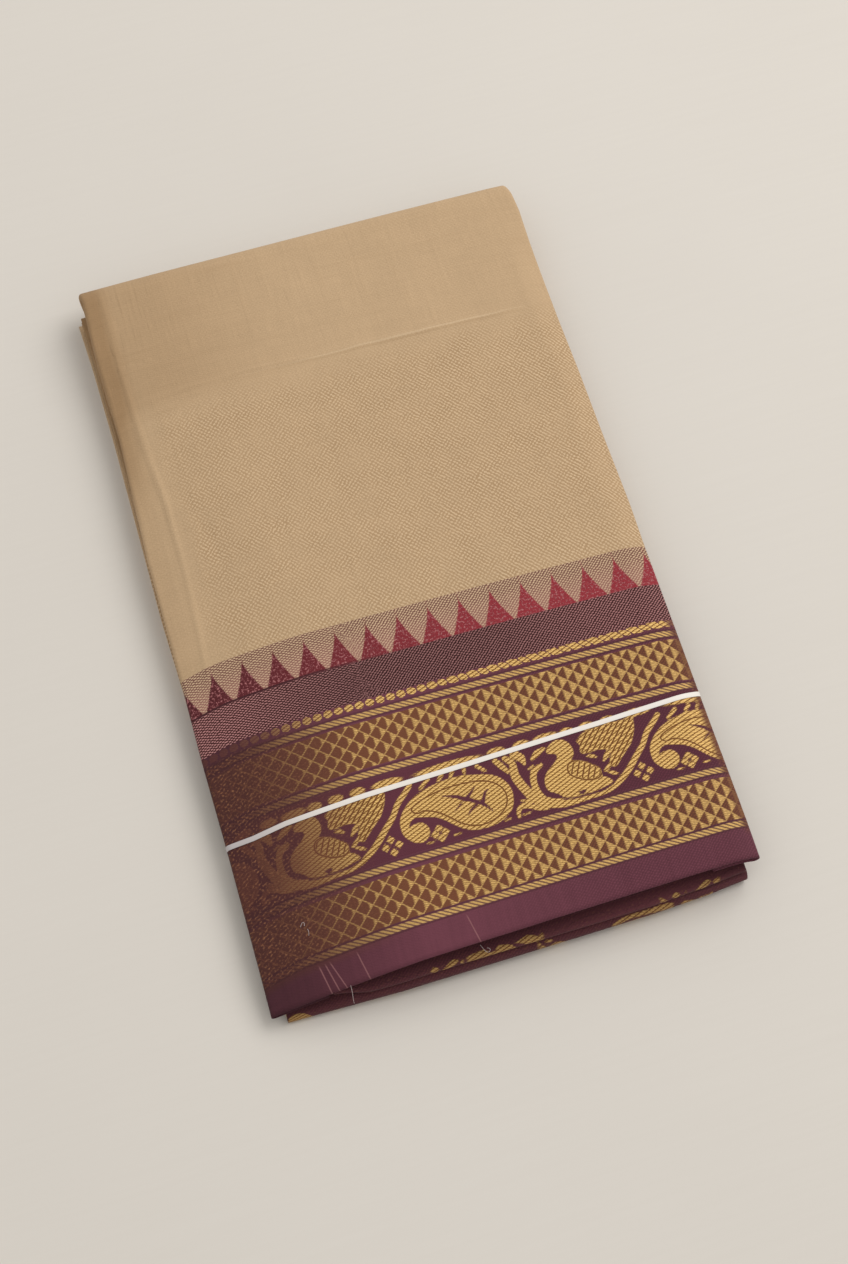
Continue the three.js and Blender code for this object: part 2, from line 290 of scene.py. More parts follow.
def to_path(x, y, path):
    """Distance from points to a path, and how far along it they lie."""
    best = np.full(np.shape(x), 1e9)
    along = np.zeros(np.shape(x))
    lengths = [math.dist(a, b) for a, b in zip(path, path[1:])]
    done, total = 0, sum(lengths)
    for (ax, ay), (bx, by), length in zip(path, path[1:], lengths):
        dx, dy = (bx - ax) / length, (by - ay) / length
        t = np.clip((x - ax) * dx + (y - ay) * dy, 0, length)
        off = np.hypot(x - ax - t * dx, y - ay - t * dy)
        near = off < best
        best = np.where(near, off, best)
        along = np.where(near, (done + t) / total, along)
        done += length
    return best, along


def waves(x, y, size, seed):
    """Soft uneven waves between -1 and 1, as long as the size, the same on each run."""
    draw = np.random.default_rng(seed)
    total = 0
    for _ in range(5):
        heading, phase = draw.uniform(0, math.tau, 2)
        length = size * draw.uniform(0.6, 1.7)
        total = total + np.sin(
            (x * math.cos(heading) + y * math.sin(heading)) * math.tau / length + phase)
    return total / 5


def crease_height(creases, x, v):
    """The height of all creases together. Each is uneven, and dies away at its ends."""
    total = 0
    for height, width, path in creases:
        off, along = to_path(x, v, path)
        ends = np.sin(np.pi * np.clip(along, 0.03, 0.97)) ** 0.5
        uneven = 0.75 + 0.35 * waves(x, v, 40, 3)
        total = total + height * ends * uneven * np.exp(-(off / width) ** 2)
    return total


# ---------------------------------------------------------------- the pack's form

# How the leaf on top falls from the pack's crown. Towards the back fold the falls at the
# sides are gentler: BACK_EASE says from where to where, from the front.
BACK_EASE = (316, 376)
LEFT_SLOPE = (70, 42)  # how wide the left fall is, at the front and at the back
LEFT_FALL = (12, 4.8)
CROWN_START = 20  # across: from here the crown falls gently to the right
CROWN_FALL = 2.2
RIGHT_START = 98
RIGHT_SLOPE = 13
RIGHT_FALL = 3.6
FRONT_SLOPE = 30
FRONT_FALL = (2.6, 1.2)  # at the left and at the right


def top_height(x, y):
    """Middle of the top leaf's wall above the table."""
    along = np.clip(from_front(y) / LENGTH, 0, 1)
    back = smooth(from_front(y), *BACK_EASE)
    slope = blend(*LEFT_SLOPE, along)
    left = np.clip((slope - WIDTH / 2 - x) / slope, 0, 1)
    left_fall = blend(*LEFT_FALL, along) * left ** 1.4 * (1 - 0.85 * back)
    past_crown = np.clip(x - CROWN_START, 0, 90) / 89
    crown = CROWN_FALL * past_crown ** 2 * (1 - 0.6 * back) + back
    past_right = np.clip(x - RIGHT_START, 0, RIGHT_SLOPE) / RIGHT_SLOPE
    right_fall = RIGHT_FALL * past_right ** 2 * (1 - 0.85 * back)
    before = np.clip((FRONT_SLOPE - from_front(y)) / FRONT_SLOPE, 0, 1)
    front_fall = blend(*FRONT_FALL, smooth(x, 20, 109)) * before ** 2
    return HEIGHT - WALL / 2 - left_fall - crown - right_fall - front_fall


def lower_top(x, y):
    return LOWER_SHARE * (top_height(x, y) + WALL / 2)


def channel(x, y):
    """How far the cloth is lifted off the table by the hollow for the tie."""
    off = np.abs(y - BAND_Y - BAND_TILT * x)
    return CHANNEL_LIFT * (1 - smooth(off, CHANNEL_HALF, CHANNEL_HALF + CHANNEL_SLOPE))


def tie_line(x):
    """Where the tie crosses the top leaf, from the selvedge."""
    return read(TIE_PATH, x, "from_selvedge")


# ---------------------------------------------------------------- meshes of cloth

def outward(points, by):
    """The points of a grid moved along the grid's normals."""
    across = np.gradient(points, axis=1)
    along = np.gradient(points, axis=0)
    normal = np.cross(across, along)
    normal /= np.linalg.norm(normal, axis=-1, keepdims=True)
    return points + by * normal


def pack_shift():
    """From the cloth's own frame to the packed one: its rest face lies at the origin."""
    mount = next(m for m in frame["record"]["mounts"] if m["name"] == "underside")
    return Vector(mount["pos_m"])


def as_mesh(name, form):
    """A bmesh as a new mesh. The bmesh is freed."""
    mesh = bpy.data.meshes.new(name)
    form.to_mesh(mesh)
    form.free()
    return mesh


def cloth_mesh(name, sheets):
    """One mesh of one or more grids of cloth. Each sheet has its points and its u and v,
    all by row and column."""
    form = bmesh.new()
    layer = form.loops.layers.uv.new("cloth")
    layers = {key: form.verts.layers.float.new(key) for key in FIGURE_FIELDS}
    shift = pack_shift()
    for sheet in sheets:
        rows, columns = sheet["u"].shape
        made = bmesh.ops.create_grid(
            form, x_segments=columns - 1, y_segments=rows - 1, size=0.5)["verts"]
        spots = {}
        for vert in made:
            column = round((vert.co.x + 0.5) * (columns - 1))
            row = round((vert.co.y + 0.5) * (rows - 1))
            spots[vert] = (row, column)
        figures = figured(sheet["u"], sheet["v"])
        for vert, spot in spots.items():
            vert.co = Vector(sheet["points"][spot]) * MM + shift
            for key in FIGURE_FIELDS:
                vert[layers[key]] = figures[key][spot]
        for face in {face for vert in made for face in vert.link_faces}:
            for loop in face.loops:
                spot = spots[loop.vert]
                loop[layer].uv = (sheet["u"][spot] * MM, sheet["v"][spot] * MM)
            face.smooth = True
    return as_mesh(name, form)


def add_piece(name, mesh, material, slot, *nodes):
    piece = bpy.data.objects.new(name, mesh)
    bpy.context.scene.collection.objects.link(piece)
    piece.data.materials.clear()
    piece.data.materials.append(material)
    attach(piece, BODY)
    if nodes:
        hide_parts(*nodes)
    return piece


def give_thickness(piece, thickness, offset=-1, name="Cloth thickness"):
    wall = piece.modifiers.new(name, "SOLIDIFY")
    wall.thickness = thickness
    wall.offset = offset


def round_edges(piece, radius):
    edge = piece.modifiers.new("Rounded edge", "BEVEL")
    edge.width = radius * MM
    edge.segments = 2
    edge.limit_method = "ANGLE"
    edge.angle_limit = math.radians(60)


# ---------------------------------------------------------------- the figured band

# One repeat of the band, in millimetres: a paisley with a curled tail, and a bird in a
# vine. A path is rounded through its places (u, v), and a stroke's places also have its
# half width there.
PAISLEY = ((-37.7, 59.5), (-37, 62.5), (-35.2, 65.5), (-32.5, 68.2), (-28.5, 71),
           (-22.5, 73.2), (-15, 74.6), (-7, 74.7), (-1, 73.7), (5, 72), (9.5, 69.7),
           (12.7, 66), (14.2, 61.5), (13.7, 57), (12, 53), (8.5, 50.2), (4, 48.2), (-2, 47.7),
           (-7.5, 48.5), (-11.5, 50.5), (-15, 53.5), (-18, 56.5), (-21, 58.7), (-24.5, 60.2),
           (-28, 61.2), (-30.5, 61.5), (-32.9, 60.2), (-34.4, 57.7), (-33.2, 58.4),
           (-31, 58.9), (-28, 58.5), (-26.2, 56.5), (-25.7, 54), (-27.2, 51.2), (-30, 49.7),
           (-33, 50.2), (-35.7, 52.5), (-37.5, 55.5))
PAISLEY_LINE = ((-31, 65.5), (-28.5, 67.5), (-23, 69.4), (-16, 70.6), (-9, 70.9), (-1, 70.2),
                (4, 68.9), (8, 66.5), (10.5, 63.2), (11.2, 59.5), (10, 55.5), (7, 52.5),
                (3, 50.5), (-2, 49.6), (-6, 50.2), (-9, 51.5), (-12, 53.5), (-14.5, 56),
                (-17, 58.5), (-20, 61), (-23, 62.6), (-26, 63.6), (-29, 63.2))
VEINS = (
    ((-16, 67.7, 0.35), (-11, 66, 0.7), (-7, 63.5, 0.95), (-3, 61.2, 0.8), (0.5, 58.5, 0.8),
     (3.2, 54.7, 0.4)),
    ((-6, 63.5, 0.9), (-2.5, 66.5, 0.5), (-1.2, 68, 0.3)),
    ((0, 59, 0.9), (1.5, 62, 0.7), (2.7, 64, 0.6), (4.2, 64.7, 0.3)),
    ((-9, 62, 0.5), (-13, 59, 0.2)),
    ((-2.5, 59.5, 0.6), (-6, 57.5, 0.5), (-7.5, 55.5, 0.3)),
    ((35, 50.2, 0.45), (40, 49.2, 0.45), (46, 48.9, 0.45), (52.5, 49.2, 0.45),
     (58, 50.7, 0.45), (60, 52.5, 0.45)),
    ((42.6, 51.3, 0.5), (44, 50.8, 0.9), (45.4, 51.3, 0.5)),
    ((54.2, 62.9, 0.9), (55.8, 62.2, 0.7)),
)
BIRD = ((40, 78.2), (43, 77.5), (45.2, 75), (46, 72), (45.5, 69), (44, 67), (49, 65),
        (52, 62.5), (55, 59.5), (55, 55), (58, 51.5), (55, 50.5), (52.5, 50), (48, 49.5),
        (39, 49.7), (35.5, 51), (33, 53.5), (30, 55.5), (29, 58.5), (29.7, 62), (32, 65),
        (35.5, 67.5), (38, 70), (37.7, 71.7), (36, 72.5), (34.2, 73.2), (34.5, 75), (37, 77.2))
WING = ((40.7, 62.5), (42, 65.5), (46, 66.2), (49, 65), (52, 62.5), (55, 59.5), (55, 57),
        (52.5, 55.2), (48, 55.7), (44.5, 57.5), (41.5, 60))
TAIL = ((48.5, 75), (50, 76.2), (52.5, 78), (60, 79), (76, 79), (76.5, 77.5), (75.5, 73),
        (72.5, 67.5), (70, 65), (66, 61.5), (62, 58), (60, 59.5), (60.5, 62.5), (62, 65.5),
        (60, 67.5), (55, 68.2), (50, 68), (48.7, 70), (49.5, 72.5))
STROKES = (
    ((15.5, 76.7, 1.3), (18, 73, 1.6), (17.5, 67.5, 2.1), (18.5, 63.5, 2.1), (20, 59.5, 2.1),
     (22, 55.5, 2.5), (25, 52.5, 2.3), (30, 49.7, 1.9), (36, 48.2, 1.3), (45, 47.7, 0.9),
     (52.5, 47.7, 0.9), (57.5, 49, 1.3), (63, 52, 1.4), (67.5, 55.5, 1.5), (72.5, 60.5, 1.4),
     (77, 65, 1.3), (80.5, 70, 1.3), (85.5, 74.5, 1.3), (88, 77, 1.2)),
    ((11, 76.7, 1.3), (13, 73.5, 1.4), (15, 70, 1.0)),
    ((20, 77.2, 2), (22.5, 74.5, 2), (23.2, 71, 0.6)),
    ((30, 68.7, 1.0), (26.5, 67, 1.5), (25, 64, 1.5), (24.5, 60.5, 1.5), (25, 56.5, 1.5),
     (26.5, 53.5, 1.2)),
    ((27, 72.5, 0.8), (30, 74.6, 1.6), (33.5, 76, 0.8)),
    ((24, 68.5, 0.5), (26.5, 69.5, 0.5)),
    ((13.7, 48, 0.8), (14, 50.5, 1.1), (16, 52.5, 1.2), (19.5, 51.7, 1.1), (23, 49.5, 1.2),
     (27, 48, 0.6)),
    ((15.5, 48.5, 0.5), (19, 48.7, 0.5)),
    ((16.5, 55.5, 0.5), (20.5, 53.2, 1.0)),
    ((51, 66.5, 0.5), (53, 66.3, 1.0), (55, 65, 0.5)),
    ((57.6, 62.5, 0.6), (59.6, 64.6, 1.3), (61.6, 67, 0.6)),
    ((56.5, 57.6, 0.6), (58.4, 58.8, 1.0), (60, 60.4, 0.6)),
    ((54, 55, 0.6), (56.4, 53.4, 1.0), (58.4, 51.6, 0.5)),
    ((57.6, 56.8, 0.5), (60, 55.6, 1.0), (61.8, 54.6, 0.5)),
    ((-28.4, 48.5, 0.5), (-25.6, 48.5, 0.5)),
    ((-16, 48.7, 0.5), (-13, 48.7, 0.5)),
    ((7.2, 48.4, 0.5), (9.9, 48.7, 0.5)),
    ((-24.5, 74, 0.8), (-20, 77.3, 1)),
    ((-15.6, 75.5, 0.8), (-13.4, 77.6, 1)),
    ((-10, 75.7, 0.8), (-8.6, 77.6, 1)),
    ((-3.6, 75.5, 0.8), (-3.4, 77.6, 1)),
    ((5.5, 73.7, 0.8), (2.5, 76.7, 1)),
)
# Caps in a row over the figures: where each starts and ends, and their middle and half
# height.
CAPS = ((-25.5, 6), (8.5, 17), (20.5, 28.5), (30, 42), (42.5, 49), (51.7, 58.8), (61.6, 68.8),
        (71.6, 86))
CAP_MIDDLE = 80.9
CAP_HALF = 2
FLORETS = ((-43.4, 52, 3), (-21.7, 51.4, 2.4))  # u, v and how far each dab lies from them
FLORET_HALF = 1.35
REPEAT_START = -60
FIGURE_FIELDS = {"figure": -6.0, "contour": -6.0, "wing": -6.0, "feather": 0.0}  # elsewhere


def rounded(places, closed=False, cuts=6):
    """A Catmull-Rom curve through places."""
    places = np.asarray(places, float)
    count = len(places)
    curve = []
    for i in range(count if closed else count - 1):
        if closed:
            a, b, c, d = (places[(i + k) % count] for k in (-1, 0, 1, 2))
        else:
            a, b = places[max(i - 1, 0)], places[i]
            c, d = places[i + 1], places[min(i + 2, count - 1)]
        for t in np.arange(cuts) / cuts:
            curve.append(0.5 * (2 * b + (c - a) * t + (2 * a - 5 * b + 4 * c - d) * t ** 2 +
                                (3 * b - a - 3 * c + d) * t ** 3))
    curve.append(curve[0] if closed else places[-1])
    return np.array(curve)


def inside(u, v, outline):
    """How deep points lie inside a rounded outline, below nothing outside it."""
    curve = rounded(outline, closed=True)
    off, _ = to_path(u, v, curve)
    crossings = np.zeros(np.shape(u), int)
    for (ax, ay), (bx, by) in zip(curve, curve[1:]):
        if ay == by:
            continue
        between = (ay > v) != (by > v)
        crossings += between & (u < ax + (v - ay) * (bx - ax) / (by - ay))
    return np.where(crossings % 2 == 1, off, -off)


def stroke(u, v, places):
    """How deep points lie inside a stroke."""
    places = np.array(places, float)
    off, along = to_path(u, v, rounded(places[:, :2]))
    return np.interp(along, np.linspace(0, 1, len(places)), places[:, 2]) - off


def one_repeat(u, v):
    """Four fields of one repeat: depth inside the gold figures, depth inside the paisley's
    inner line, depth inside the wing, and share of the tail's stripes."""
    tail = inside(u, v, TAIL)
    wing = inside(u, v, WING)
    gold = np.maximum.reduce([inside(u, v, PAISLEY), inside(u, v, BIRD), tail])
    for shape in STROKES:
        gold = np.maximum(gold, stroke(u, v, shape))
    for start, end in CAPS:
        reach = np.hypot((2 * u - start - end) / (end - start), (v - CAP_MIDDLE) / CAP_HALF)
        gold = np.maximum(gold, (1 - reach) * CAP_HALF)
    for across, along, arm in FLORETS:
        for turn in range(4):
            du = np.abs(u - across - arm * math.cos(turn * math.pi / 2))
            dv = np.abs(v - along - arm * math.sin(turn * math.pi / 2))
            gold = np.maximum(gold, (FLORET_HALF - du - dv) / math.sqrt(2) + 0.5)
    for vein in VEINS:
        gold = np.minimum(gold, -stroke(u, v, vein))
    return {"figure": gold, "contour": inside(u, v, PAISLEY_LINE), "wing": wing,
            "feather": smooth(tail, -0.3, 0.3)}


def figured(u, v):
    """The figured band's fields at points of the cloth, with its repeat."""
    repeat = bpy.context.scene.saree_weave.repeat / MM
    fields = {key: np.full(u.shape, far) for key, far in FIGURE_FIELDS.items()}
    near = (v > FIGURES[0] - 2) & (v < FIGURES[1] + 2)
    if near.any():
        local = np.mod(u[near] - REPEAT_START, repeat) + REPEAT_START
        for turn in (-1, 0, 1):
            for key, values in one_repeat(local + turn * repeat, v[near]).items():
                fields[key][near] = np.maximum(fields[key][near], values)
    return fields


# ---------------------------------------------------------------- shader maths

class Value:
    """A number that varies over a surface. Python's operators add its Math nodes."""

    def __init__(self, shader, socket):
        self.shader = shader
        self.socket = socket

    def before(self, operation, other):
        return self.shader.math(operation, self, other)

    def after(self, operation, other):
        return self.shader.math(operation, other, self)

    __add__ = functools.partialmethod(before, "ADD")
    __radd__ = functools.partialmethod(after, "ADD")
    __sub__ = functools.partialmethod(before, "SUBTRACT")
    __rsub__ = functools.partialmethod(after, "SUBTRACT")
    __mul__ = functools.partialmethod(before, "MULTIPLY")
    __rmul__ = functools.partialmethod(after, "MULTIPLY")
    __truediv__ = functools.partialmethod(before, "DIVIDE")

    def __abs__(self):
        return self.shader.math("ABSOLUTE", self)


class Shader:
    """A material that is put together from values."""

    def __init__(self, name):
        self.material = bpy.data.materials.new(name)
        self.material.use_nodes = True
        self.tree = self.material.node_tree
        self.tree.nodes.clear()

    def node(self, kind, settings=None, inputs=None):
        node = self.tree.nodes.new(kind)
        for key, value in (settings or {}).items():
            setattr(node, key, value)
        for key, value in (inputs or {}).items():
            if isinstance(value, Value):
                self.tree.links.new(value.socket, node.inputs[key])
            elif node.inputs[key].type == "RGBA":
                node.inputs[key].default_value = (*value[:3], 1)
            else:
                node.inputs[key].default_value = value
        return node

    def value(self, node, output=0):
        return Value(self, node.outputs[output])

    def math(self, operation, *values):
        return self.value(self.node(
            "ShaderNodeMath", {"operation": operation}, dict(enumerate(values))))

    def least(self, first, second):
        return self.math("MINIMUM", first, second)

    def most(self, first, second):
        return self.math("MAXIMUM", first, second)

    def fract(self, value):
        return self.math("FRACT", value)

    def total(self, values):
        return functools.reduce(lambda first, second: first + second, values)

    def step(self, value, low, high):
        """From 0 at low to 1 at high, rounded."""
        return self.value(self.node(
            "ShaderNodeMapRange", {"interpolation_type": "SMOOTHSTEP"},
            {"Value": value, "From Min": low, "From Max": high}))

    def fade(self, value, low, high):
        """From 1 at low to 0 at high, rounded."""
        return 1 - self.step(value, low, high)

    def band(self, value, low, high, edge=0.22):
        """1 between low and high, with soft edges."""
        return (self.step(value, low - edge, low + edge) *
                self.fade(value, high - edge, high + edge))

    def ridge(self, value, period):
        """From 1 at whole periods to 0 half way between them."""
        return abs(self.fract(value / period) - 0.5) * 2

    def mix(self, share, first, second):
        mixed = self.node("ShaderNodeMix", {"data_type": "RGBA", "clamp_factor": True},
                          {"Factor": share, 6: first, 7: second})
        return self.value(mixed, 2)

    def layered(self, colour, *covers):
        """A colour covered in turn by others, each by its share."""
        for share, cover in covers:
            colour = self.mix(share, colour, cover)
        return colour

    def grey(self, value):
        return self.value(self.node(
            "ShaderNodeCombineXYZ", None, {0: value, 1: value, 2: value}))

    def scaled(self, vector, by):
        return self.value(self.node(
            "ShaderNodeVectorMath", {"operation": "MULTIPLY"}, {0: vector, 1: by}))

    def noise(self, vector, scale, detail=2.0):
        """Noise about 0, mostly within -1 and 1. The scale is in spots for each metre."""
        spots = self.value(self.node(
            "ShaderNodeTexNoise", {"noise_dimensions": "3D"},
            {"Vector": vector, "Scale": scale, "Detail": detail}))
        return (spots - 0.5) * 3

    def streaks(self, vector, scales, detail):
        """Noise drawn out one way, by its spots for each metre along each axis."""
        return self.noise(self.scaled(vector, scales), 1, detail)

    def attribute(self, name):
        return self.value(self.node("ShaderNodeAttribute", {"attribute_name": name}), 2)

    def object_place(self):
        return self.value(self.node("ShaderNodeTexCoord"), 3)

    def finish(self, surface, height, **constants):
        """A Principled surface. The height is in millimetres."""
        bump = self.node("ShaderNodeBump", None, {"Height": height, "Distance": MM})
        surface["Normal"] = self.value(bump)
        surface.update({key.replace("_", " "): value for key, value in constants.items()})
        principled = self.node("ShaderNodeBsdfPrincipled", None, surface)
        output = self.node("ShaderNodeOutputMaterial")
        self.tree.links.new(principled.outputs[0], output.inputs[0])
        return self.material


# ---------------------------------------------------------------- the woven cloth

# Shades of the weave, beside the yarns that the panel lists, and colours of painted shade and
# highlight.
ROPE_LINE = tone(52, 26, 30)
GROUND_DOT = tone(60, 30, 36)
# painted shade of the ground, where the leaf falls away from the light at the left
SHADED_LEFT_GROUND = tone(56, 28, 33)
FLECK = tone(168, 116, 80)
# painted shade of the temple red at the left
SHADED_LEFT_RED = tone(84, 34, 38)
DARK_RED = tone(96, 30, 40)
PALE_RED = tone(190, 124, 124)
TEMPLE_GROUND = (tone(158, 112, 100), tone(124, 86, 74))  # its dots, low and high
BASE_LINE = tone(70, 34, 38)
# painted shade of the field at its left edge
SHADED_LEFT_FIELD = tone(166, 134, 98)
# painted highlight on the old fold's ridge
CREASE_HIGHLIGHT = tone(240, 214, 178)

# Where the look of the top leaf changes: the start and end of each change, along u.
LEFT_PART = (-70, 0)
# painted shade: left of here the gold dims, where the leaf falls away from the light
GOLD_LIT_FROM = (-108, -40)
GOLD_SHADE_AT_TURN = (106, 109.5)  # painted shade: the gold dims again at the right turn
GOLD_FILLS = (-112, 20)  # how far the gold fills the diamonds
# painted shade: the border's ground darkens towards the left
GROUND_SHADE_LEFT = (-112, -30)
RIGHT_PART = (-30, 60)
DASHES_COME = (-40, 60)  # the beads lean into dashes, and the ground's dots show
PAINTED_SHEEN = ((-110, -30), (10, 90))  # painted sheen: the dotted band darkens, then lightens again
# painted shade: the temple red darkens towards the left
RED_COMES = (-118, 60)
FIELD_COMES = (-98, -84)
LOOSE_LEFT = (-92, -60)
SHADED_LEFT = ((-112, -96), (-90, 0))  # all along, and at the back
CREASE_LIGHT_RUN = ((-70, 30), (70, 102))  # the painted highlight and shade of the old fold's ridge come and go
# The same along v.
FIELD_GOES = (285, 306)
LOOSE_BACK = (270, 330)
SHADED_BACK = ((235, 290), (290, 310))  # at the left edge, and beside it
SELVEDGE = (12, 15)  # here the plain selvedge ends
# In a fold: where all gold shows, where the ropes start, and where its painted shade ends.
FOLD_FRONT = {"gold": (54, 57), "ropes": (50, 52), "light": (57, 62)}
BORDER_BEND = 0.00016  # how the temple points draw together towards both sides


class Cloth(Shader):
    """The cloth by its own u and v, in millimetres, with its yarn. In a fold, gold shows
    in spans of its front."""

    def __init__(self, name, spans):
        super().__init__(name)
        self.place = self.value(self.node("ShaderNodeUVMap", {"uv_map": "cloth"}))
        parts = self.node("ShaderNodeSeparateXYZ", None, {0: self.place})
        self.u = self.value(parts, 0) * (1 / MM)
        self.v = self.value(parts, 1) * (1 / MM)
        self.weft = self.streaks(self.place, (60, 900, 1), 3)
        self.warp = self.streaks(self.place, (900, 50, 1), 3)
        self.blotch = self.noise(self.place, 45)
        self.fibre = self.noise(self.place, 1600)
        self.speckle = self.noise(self.place, 900, 1)
        self.patch = self.noise(self.place, 200) + self.step(self.u, *RIGHT_PART) * 0.3
        self.stray = self.noise(self.place, 330, 1) * 1.8
        self.left = self.fade(self.u, *LEFT_PART)

        # Gold thread: dark twill lines, and floats across them that leave jagged edges.
        self.twill = self.ridge(self.v - self.u * TWILL[0], TWILL[1])
        self.floats = self.ridge(self.v - self.u * FLOAT[0], FLOAT[1])
        self.jag = self.floats * 0.6 - 0.3 + self.fibre * 0.08

        # How bright the gold is, and where it shows at all.
        # Painted shade dims the gold at the leaf's left, at its right turn and in a fold.
        self.spans = spans
        if spans:
            # painted shade: the gold on a fold's front is dimmed
            self.gold_light = 0.75
            self.showing = self.most(
                self.total(self.band(self.u + self.blotch, *span, 1) for span in spans),
                self.step(self.v, *FOLD_FRONT["gold"]))
        else:
            # painted shade: dim gold at the leaf's left and at its right turn
            self.gold_light = (self.step(self.u + self.blotch * 6, *GOLD_LIT_FROM) *
                          (1 - self.step(self.u, *GOLD_SHADE_AT_TURN) * 0.75))
            self.showing = 1


def weave_dots(s, slants, change):
    """Small dots of the weave, on the slant. Here one slant shows more, there the other."""
    crossed = s.total(
        s.math("COSINE", s.u * (math.tau * along) + s.v * (math.tau * up) + s.stray) *
        (part + s.patch * sign * change)
        for (along, up, part), sign in zip(slants, (1, -1)))
    return s.step(crossed + s.fibre * 0.22, -0.1, 0.5)


def border_dots(s):
    side = s.step(s.left + s.fibre * 0.3 + s.blotch * 0.1, 0.4, 0.6)
    return blend(weave_dots(s, RIGHT_DOTS, 0.1), weave_dots(s, LEFT_DOTS, 0.1), side)


def rope_rows(s):
    """Ropes: slanted strands with narrow slits, and a dark line to either side."""
    strand = s.ridge(s.u + s.v * ROPE_SLANT, ROPE_PITCH)
    ropes, beside = [
        s.total(s.fade(abs(s.v - middle), half - 0.3, half + 0.3) for middle in ROPES)
        for half in (ROPE_HALF, ROPE_HALF + 1)]
    ropes = ropes * (s.step(strand + s.fibre * 0.08, 0.3, 0.6) * 0.85 + 0.15)
    if s.spans:
        ropes = ropes * s.step(s.v, *FOLD_FRONT["ropes"])
    return ropes, beside


def lattice_rows(s):
    """Where the lattices lie, and their diamonds: thin outlines, and gold in the right
    halves."""
    wide, tall = LATTICE_CELL
    (low, _), (high, _) = LATTICES
    fields = s.total(s.band(s.v, *ends) for ends in LATTICES)
    rise = s.v - low - s.step(s.v, *BETWEEN_LATTICES) * (high - low)
    falling = s.fract((s.u + LATTICE_SHIFT) / wide + rise / tall)
    rising = s.fract((s.u + LATTICE_SHIFT) / wide - rise / tall)
    outline = s.step(s.most(abs(falling - 0.5), abs(rising - 0.5)), 0.42, 0.47)
    growth = s.step(s.u, *GOLD_FILLS) * 0.7 + 0.22
    filled = s.step(falling + rising + growth - 2 + s.jag * 0.35, -0.08, 0.1)
    gold = s.most(filled * (0.75 + s.speckle * 0.3), outline * (0.8 - s.gold_light * 0.2))
    return fields, fields * gold


def bead_row(s):
    """Beads in pairs, which run into dashes towards the right."""
    right = s.step(s.u, *RIGHT_PART)
    slanted = (s.v - BEADS) * s.step(s.u, *DASHES_COME) * 0.9
    pair = s.fract((s.u + BEAD_SHIFT + slanted) / BEAD_PAIR)
    inner = s.fade(abs(pair - 0.5), 0.24, 0.26)
    lens = (s.ridge(pair, 0.5) - 1) * (1 - inner * right * 0.85)
    far = (s.v - BEADS) / BEAD_HALF
    return s.fade(lens * lens * 1.25 + far * far + s.jag * 0.4, 0.75, 1.05)


def figure_band(s):
    """The figures' outline, the dark lines and feathers in them, and their gold."""
    wing = s.attribute("wing")
    solid = s.step(s.attribute("figure") + s.jag * 0.8, -0.2, 0.2)
    line = s.most(s.fade(abs(s.attribute("contour")), 0.15, 0.5),
                  s.fade(abs(wing), 0.15, 0.55))
    stripes = s.step(s.ridge(s.u * 0.72 - s.v * 0.69, 2.05), 0.55, 0.8)
    barbs = s.step(s.ridge(s.u * 0.89 - s.v * 0.45, 2.5), 0.62, 0.85)
    feathers = s.most(stripes * s.attribute("feather"), barbs * s.step(wing, 0.4, 0.7))
    veins = solid * s.most(line, feathers)
    return solid, veins, solid * (1 - veins * 0.35)


def border_ground(s, yarns, dot, beside, fields, solid):
    """Behind the gold: maroon, plum behind the figures, and the dotted band, with painted
    shade at the left and painted sheen on the band.
    """
    # share of the gold in painted shade, where more of the bronze ground shows
    gold_shaded = 1 - s.gold_light
    fleck = s.step(s.noise(s.place, 850) + (s.twill - 0.5) * 0.5, 0, 0.9)
    light_yarns = s.total(
        s.fade(abs(s.u - start - s.v * ((end - start) / LIGHT_YARN_RUN)) + s.fibre * 0.1,
               0.12, 0.4)
        for start, end in LIGHT_YARNS)
    # painted sheen: the dotted band darkens towards the left middle and lightens at either
    # side
    painted_sheen = s.fade(s.u, *PAINTED_SHEEN[0]) * 0.47 + s.step(s.u, *PAINTED_SHEEN[1]) * 0.22 + 0.79
    dotted = s.scaled(s.mix(dot, yarns.maroon_dot, yarns.mauve), s.grey(painted_sheen))
    return s.layered(
        yarns.maroon,
        (s.band(s.v, *FIGURES), yarns.plum),
        (fields * (s.gold_light * 0.3 + 0.6), yarns.bronze),
        (s.band(s.v, *GOLD_PART, 2) * gold_shaded * 0.5, yarns.bronze),
        (beside * 0.4, ROPE_LINE),
        ((1 - dot) * s.step(s.u, *DASHES_COME) * 0.4, GROUND_DOT),
        # painted shade: the ground darkens towards the left
        (s.fade(s.u, *GROUND_SHADE_LEFT) * 0.75, SHADED_LEFT_GROUND),
        (fleck * gold_shaded * s.band(s.v, *FLECKED_PART, 2) * 0.6, FLECK),
        (solid * s.gold_light * s.showing * 0.8, yarns.bronze),
        (light_yarns * s.fade(s.v, *LIGHT_YARN_END) * 0.45, yarns.mauve),
        (s.band(s.v, *MAUVE), dotted))


